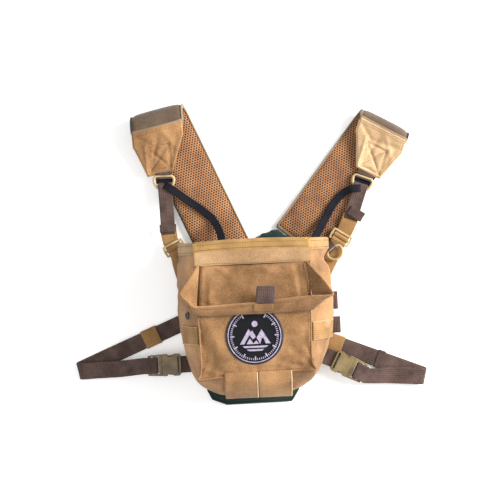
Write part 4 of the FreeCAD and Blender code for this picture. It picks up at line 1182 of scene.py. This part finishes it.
RINGS = {"left": ((-94, 96.3), 0, 4.5), "right": ((145.3, 84.2), -21.7, 7)}
UPPER = {"left": ((-92.8, 80.7), (-91.8, 28.5)), "right": ((139.2, 69.3), (127.3, 36))}
LOCKS = {"left": ((-85.5, 10.2), 26), "right": ((114.2, 13.2), -34)}
LOWER = {"left": [(-79, -10), (-74, -30)], "right": [(103.5, -6), (88, -34)]}


# y and z of the tan webbing in a ladder lock: under the top bar, over the middle bar and back under
THROUGH_LOCK = (
    (10.5, -2.2), (7, -2.9), (4.8, -2.0), (3.2, 0.4), (1.8, 2.4), (0, 2.9), (-1.9, 1.4), (-1.6, -1.8),
    (2.4, -4.0),
)


def bar_loop(name, origin, degrees, tongue, width, wire):
    """Webbing round a bar on X, with both ends going out to +Y."""
    r = wire / 2 + 0.8
    arc = [(r * math.sin(t), r * math.cos(t)) for t in np.linspace(0.9, 2 * math.pi - 0.9, 13)]
    ends = [(tongue, 0.65), (tongue * 0.6 + 1, 0.7)]
    route = ends + arc + [(y, -z) for y, z in ends[::-1]]
    return local_strap(name, origin, degrees, route, width, 1.1, per=2)


def shoulder_webbing(side):
    ring, degrees, tongue = RINGS[side]
    loop = bar_loop(f"{side}_ring_loop", (*ring, RING_Z), degrees, tongue, 19 if side == "left" else 20, 3.6)
    ready(loop, "harness", "brown_webbing", ("ring_loops",) if side == "left" else ())
    # the black tether's end under the ring, placed to fill the ring's opening: real strap, and also painted
    # shade inside the ring
    route = [(-2.4, -1.9), (-5, -1.6), (-8.4, -1.2)]
    eye = local_strap(f"{side}_tether_eye_and_shade", (*ring, RING_Z), degrees, route, 19.5, 1.2)
    ready(eye, "harness", "black_strap")
    top, foot = UPPER[side]
    away = np.array(foot) - np.array(top)
    long = float(np.hypot(*away))
    degrees = math.degrees(math.atan2(away[0], -away[1]))
    half = [(-long - 2, 0.85), (-16, 0.9), (-9, 2.2), (-3, 3.0), (3, 3.1), (6.4, 2.3)]
    route = half + [(7.6, 0)] + [(y, -z) for y, z in reversed(half)]
    eye = local_strap(f"{side}_webbing", (*top, RING_Z), degrees, route, 17, 1.4)
    ready(eye, "harness", "brown_webbing", (f"{side}_upper_webbing",))
    # tan webbing: under the top bar of the ladder lock, up its slot and over the middle bar
    middle, lean = LOCKS[side]
    to_lock = np.array(middle) - np.array(foot)
    points = [(*(np.array(foot) - unit(away) * 4), RING_Z - 0.1)]
    points.append((*(np.array(foot) + to_lock * 0.2), RING_Z + 0.3))
    for y, z in THROUGH_LOCK:
        x_turned, y_turned = turned(0, y, lean)
        points.append((middle[0] + x_turned, middle[1] + y_turned, 12.5 + z))
    lines = [turned(1, 0, degrees)] * 2 + [turned(1, 0, lean)] * 9
    across = unit([[*line, 0.0] for line in lines])
    tan = strap(f"{side}_tan_strap", points, [19.5, 19.5] + [19] * 9, 1.5, across=across, per=4)
    ready(tan, "harness", "tan_webbing", (f"{side}_tan_webbing",))
    # anchor webbing: round the lower bar and down under the pouch
    points = []
    for y, z in ((-9.5, -1.2), (-5.5, -2.5), (-2.6, -1.0), (-3.0, 1.6), (-5.8, 2.7), (-9.5, 1.8)):
        x_turned, y_turned = turned(0, y, lean)
        points.append((middle[0] + x_turned, middle[1] + y_turned, 12.5 + z))
    low = [(*LOWER[side][0], 13.6), (*LOWER[side][1], 14.6)]
    along = unit(np.array(LOWER[side][1]) - np.array(LOWER[side][0]))
    across = unit([[*turned(1, 0, lean), 0.0]] * 6 + [[-along[1], along[0], 0.0]] * 2)
    anchor = strap(f"{side}_anchor_strap", points + low, 18.5, 1.4, across=across, per=4)
    ready(anchor, "harness", "tan_webbing", ("pouch_anchor_webbings",) if side == "left" else ())


def sleeve(name, middle, degrees, long, wide, high, wall, body, slot, nodes, material=None):
    """An elastic sleeve along its own X, gathered a little at its middle."""
    stations = np.linspace(-long / 2, long / 2, 7)
    corner = min(high / 2, 1.2)
    local = []
    for x in stations:
        waist = 0.25 * math.cos(math.pi * x / long)
        for offset in (wall, 0.0):
            gather = waist * (offset > 0)
            h, w = high / 2 + offset - gather, wide / 2 + offset - gather
            c = corner + offset * 0.6
            for sx, sy, begin in ((1, 1, 0), (-1, 1, 90), (-1, -1, 180), (1, -1, 270)):
                for t in np.radians(begin + np.array([0, 30, 60, 90])):
                    local.append((x, sx * (w - c) + c * math.cos(t), sy * (h - c) + c * math.sin(t)))
    points = []
    for x, y, z in local:
        px, py = turned(x, y, degrees)
        points.append((middle[0] + px, middle[1] + py, middle[2] + z))
    # each station has 16 corners outside and then 16 inside
    last = (len(stations) - 1) * 32
    faces = []
    for a in range(0, last, 32):
        for j in range(16):
            k = (j + 1) % 16
            b = a + 32
            faces.append((a + j, a + k, b + k, b + j))
            faces.append((a + 16 + j, b + 16 + j, b + 16 + k, a + 16 + k))
    for a in (0, last):
        for j in range(16):
            k = (j + 1) % 16
            face = (a + j, a + 16 + j, a + 16 + k, a + k)
            faces.append(face if a == 0 else face[::-1])
    piece = mesh(name, points, faces, [(y + z, x) for x, y, z in local])
    modify(piece, "SUBSURF", levels=1, render_levels=1)
    return ready(piece, body, slot, nodes, material)


TETHERS = {
    "left": [
        (-91, 84.5, 17.5), (-82.5, 78.6, 17.3), (-74, 72, 13.2), (-64, 64.5, 10.8), (-50, 54, 10.4),
        (-38.5, 43, 11.4), (-31.5, 30.5, 16), (-28, 18, 22.6), (-27, 7, 26), (-26, -8, 26.6),
        (-25, -24, 26.8),
    ],
    "right": [
        (138, 71, 17.6), (129.5, 70.6, 17.4), (122, 67.4, 13.4), (114.5, 61.6, 11.2), (105.5, 51, 10.8),
        (98, 38.5, 12), (90.5, 26, 17), (83.5, 16, 22.6), (78, 5, 26), (73, -9, 26.6), (68, -24, 26.8),
    ],
}


def tethers():
    for side, route in TETHERS.items():
        x, y, _ = route[0]
        start = (x - 3, y + 2, RING_Z + 2) if side == "left" else (x + 3, y, RING_Z + 2)
        piece = strap(f"{side}_tether_strap", [start] + route, 9, 1.3, per=6)
        ready(piece, "harness", "black_strap", (f"{side}_tether",))


BUCKLES = {"left": ((-84, -129.5), 180), "right": ((99.2, -132.3), -28)}
STRAPS = {
    "left": ((-54, -69.8), (-204.8, -130.9), (-126, -129.6), 0.57),
    "right": ((71, -101), (205, -156.2), (137, -150.8), 0.77),
}
ANCHORS = {"left": (-51.5, -129.5), "right": (66, -118.5)}


def side_strap(side):
    start, turn, end, keeper = STRAPS[side]
    fold = Fold(start, turn, end, 2.4, 3.2)
    origin, degrees = BUCKLES[side]

    def through(taus, more=()):
        found = [fold.at(t) for t in taus]
        points = [m for m, _, _ in found] + [np.array(p) for p, _ in more]
        lines = [n for _, n, _ in found] + [np.array(n) for _, n in more]
        return np.array(points), np.array(lines)

    taus = [*np.linspace(-fold.come_in, -6, 12), *np.linspace(0, fold.arc, 7), fold.arc + 4, fold.arc + 8]
    points, lines = through(taus)
    points[1:11, 2] += 0.35 * np.sin(np.arange(10) * 1.3)
    low = strap(f"{side}_strap_low", points, 20, 1.5, across=lines, per=3)
    ready(low, "harness", "brown_webbing", (f"{side}_side_strap",))
    ax, ay = turned(1, 0, degrees)
    across = np.array([-ay, ax, 0.0]) * np.sign(np.dot([-ay, ax, 0.0], lines[-1]))

    def in_buckle(x, z):
        px, py = turned(x, 0, degrees)
        return (origin[0] + px, origin[1] + py, z), across

    into = ((45.5, 14.6), (41, 16.3), (35, 16.6), (30.5, 16.6), (28.2, 15.4), (27.6, 12.4))
    more = [in_buckle(x, z) for x, z in into]
    taus = [fold.arc + 1, fold.arc + 6, fold.arc + fold.go_out * 0.35, fold.arc + fold.go_out * 0.6]
    points, lines = through(taus, more)
    points[:2, 2] += 0.15
    front = strap(f"{side}_strap_front", points, 19.6, 1.4, across=lines, per=4)
    ready(front, None, "brown_webbing", (f"{side}_plug_webbing",))
    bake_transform(front)
    heading = math.degrees(math.atan2(start[1] - turn[1], start[0] - turn[0]))
    middle = np.array(turn) + (np.array(start) - np.array(turn)) * keeper
    sleeve(f"{side}_elastic", (*middle, 2.4), heading, 20, 21, 2.6, 0.9, f"{side}_strap_slider",
           "tan_webbing" if side == "left" else "brown_webbing", (f"{side}_strap_keeper",), "tan_webbing")
    if side == "right":
        place = np.array(turn) + unit(np.array(start) - np.array(turn)) * 54
        sleeve("tail_loop", (*place, 2.4), heading, 9, 21, 2.6, 0.9,
               "harness", "brown_webbing", ("right_tail_loop",))
    # short webbing from under the pouch to the socket
    tip = in_buckle(-6, 13)[0]
    foot = (*ANCHORS[side], 13)
    halfway = tuple((np.array(foot) + np.array(tip)) / 2)
    round_bar = [in_buckle(x, z)[0] for x, z in ((0.8, 14.6), (2.6, 14.2), (3.3, 12), (1, 9.6))]
    route = [foot, halfway, tip] + round_bar
    anchor = strap(f"{side}_buckle_anchor", route, 20, 1.5, across=across, per=4)
    ready(anchor, "harness", "brown_webbing", ("buckle_anchor_webbings",) if side == "left" else ())


def hardware():
    """The moulded pieces keep their CAD shapes, with eased edges."""
    names = ["left_ladder_lock", "right_ladder_lock", "tether_clips"]
    for side in ("left", "right"):
        moulded = ("socket", "plug", "prong_rear", "prong_front")
        names += [f"{side}_buckle_{part_name}" for part_name in moulded]
    for name in names:
        piece = frame["nodes"][name]
        modify(piece, "WELD", merge_threshold=0.00002)
        eased = {"width": 0.0006, "segments": 3, "limit_method": "ANGLE", "angle_limit": math.radians(50)}
        modify(piece, "BEVEL", **eased, harden_normals=False)
    for side in ("left", "right"):
        origin, degrees = BUCKLES[side]
        rings, faces = [], []
        for x in (12.4, 14.6, 16.8, 19.0):
            half = 7.5
            base = len(rings)
            for t in np.linspace(0, 1, 9):
                y = (2 * t - 1) * half
                for dx, dz in ((-0.7, 0.0), (0, 0.55), (0.7, 0.0)):
                    px, py = turned(x + dx + 1.2 * (1 - (2 * t - 1) ** 2), y, degrees)
                    z = 13 + 4.4 + dz * math.sin(math.pi * (0.08 + 0.84 * t))
                    rings.append((origin[0] + px, origin[1] + py, z))
            for i in range(8):
                for j in range(2):
                    corner = base + 3 * i + j
                    faces.append((corner, corner + 1, corner + 4, corner + 3))
        ready(mesh(f"{side}_socket_grip", rings, faces), "harness", "buckle_plastic")


# ---- yoke ----------------------------------------------------------------------------------------


def stuffed(name, outline, low, high, voxel, pressure, cap, floor, slot, nodes):
    """A padded panel: a slab on an outline, remeshed finely, then swollen as cloth."""
    n = len(outline)
    points = [(x, y, z) for z in (low, high) for x, y in outline]
    faces = [tuple(range(n))[::-1], tuple(range(n, 2 * n))]
    faces += [(k, (k + 1) % n, n + (k + 1) % n, n + k) for k in range(n)]
    piece = mesh(name, points, faces)
    modify(piece, "REMESH", mode="VOXEL", voxel_size=voxel * MM)
    graph = bpy.context.evaluated_depsgraph_get()
    data = bpy.data.meshes.new_from_object(piece.evaluated_get(graph))
    piece.modifiers.clear()
    piece.data = data
    data.shade_smooth()
    swell(piece, pressure, cap, floor=floor)
    modify(piece, "SUBSURF", levels=1, render_levels=1)
    ready(piece, "harness", slot, nodes)
    return piece


def yoke():
    """The dark back panel with its piped lower edge, and the cushion between it and the pouch."""
    outline = []
    for side in ("left", "right"):
        start, turn = np.array(SHOULDERS[side][0]), np.array(SHOULDERS[side][1])
        along = unit(turn - start)
        left = np.array([-along[1], along[0]]) * 29.5
        outline += [tuple(start + left), tuple(start - left)]
    outline.insert(2, (20.5, 26))
    outline += [(55.5, -148), (56.5, -168), (48, -181), (-33, -181.6), (-50, -175), (-56.5, -162)]
    stuffed("yoke", outline, 1.2, 7.0, 4.0, 2.5, 2.0, 0.3, "dark_padding", ("yoke_panel",))
    piping = np.array([(MIDDLE + (x - MIDDLE) * 0.955, y + 2.2, 4.4) for x, y in outline[5:]])
    path = np.concatenate([spline(piping[k:k + 2], 8)[:-1] for k in range(len(piping) - 1)])
    ready(tube("yoke_piping", path, 2.3, sides=10), "harness", "dark_padding")
    inner = [(-43, -147), (56, -147), (65, -32), (58, -12), (-45, -12), (-52, -32)]
    nodes = ("pouch_back_padding",)
    stuffed("back_cushion", inner, 8.6, 15.2, 5.0, 2.5, 1.5, None, "dark_padding", nodes)


# ---- assembly ------------------------------------------------------------------------------------

shell, shell_bands = pouch()
rim_band(shell_bands)
shell_tree = tree_of(shell)
gusset_bands(shell_tree)
base_loops()
side_tabs()
side_eyelet(shell_tree)
patch(shell_tree)
foam_pads()
lid()
yoke()
for one_side in ("left", "right"):
    shoulder(one_side)
    shoulder_webbing(one_side)
    side_strap(one_side)
sleeve("webbing_sleeve", (-91.9, 34, RING_Z), 91.1 - 180, 9.5, 18, 4.4, 1.1,
       "webbing_slider", "brown_webbing", ("left_webbing_keeper",))
accessory_loop = bar_loop("accessory_loop", (103, 0, 19), 38, 9, 12, 3.0)
ready(accessory_loop, "harness", "brown_webbing", ("accessory_ring_loop",))
tail = [(126, 46, 15.4), (130, 43.2, 16.4), (135, 39.8, 16.6), (141.5, 35.4, 16.2)]
ready(strap("webbing_tail", tail, 12, 1.3, per=4), "harness", "brown_webbing", ("right_webbing_tail",))
tethers()
hardware()
seam_line = shell_bands[0]
inwards = -np.sign(seam_line[:, 0] - MIDDLE) * 2.6
upwards = np.where(seam_line[:, 1] < -132, 2.6, 0.0)
inside = seam_line + np.stack([inwards, upwards, np.full(len(seam_line), 0.5)], axis=1)
keep_rows = inside[4:-4]
stitches("pouch_stitches", "harness", "thread", [keep_rows], shell_tree)
# a continuous dark roll along the front's lower seam: thread colour, and painted shade of the seam's groove
low_seam = seam_line[SIDE_ROWS + 1:-SIDE_ROWS - 1] + np.array([0, -1.1, -0.2])
ready(tube("front_low_seam_and_shade", low_seam, 0.5, sides=6), "harness", "coyote_fabric", material="thread")
welt = tube("front_welt", seam_line[3:-3] + np.array([0, 0, 0.1]), 0.9, sides=8)
ready(welt, "harness", "coyote_fabric")

# ---- floor, light and camera ---------------------------------------------------------------------

FLOOR = [(-3000, -3000, 0), (3000, -3000, 0), (3000, 3000, 0), (-3000, 3000, 0)]
floor = mesh("floor", FLOOR, [(0, 1, 2, 3)])
floor_shader = Shader("floor", 0.9, Emission_Color=(1, 1, 1, 1), Emission_Strength=0.22)
floor_colour = floor_shader.mix(floor_shader.noise(3.0), rgb(244, 244, 244), rgb(250, 250, 250))
floor.data.materials.append(floor_shader.finish(floor_colour))


def area_light(name, place, target, size, power, colour=(1, 1, 1)):
    light = bpy.data.lights.new(name, "AREA")
    light.energy = power
    light.size = size
    light.color = colour
    lamp = bpy.data.objects.new(name, light)
    lamp.location = place
    lamp.rotation_euler = (Vector(target) - Vector(place)).to_track_quat("-Z", "Y").to_euler()
    SCENE.collection.objects.link(lamp)


area_light("key", (1.35, 0.35, 0.85), (0, 0, 0), 0.8, 56, (1.0, 0.97, 0.93))
area_light("fill", (-0.7, -0.5, 1.5), (0, 0, 0), 1.4, 11)
world = bpy.data.worlds.new("world")
world.use_nodes = True
world.node_tree.nodes["Background"].inputs[0].default_value = (1, 1, 1, 1)
world.node_tree.nodes["Background"].inputs[1].default_value = 0.6
SCENE.world = world
SCENE.view_settings.view_transform = "Standard"

camera_data = bpy.data.cameras.new("camera")
camera_data.lens = 89.4
camera_data.sensor_width = 36
camera = bpy.data.objects.new("camera", camera_data)
camera.location = (0.00498, 0.00338, 1.5)
camera.rotation_euler = (0, 0, math.radians(-2.7))
SCENE.collection.objects.link(camera)
SCENE.camera = camera
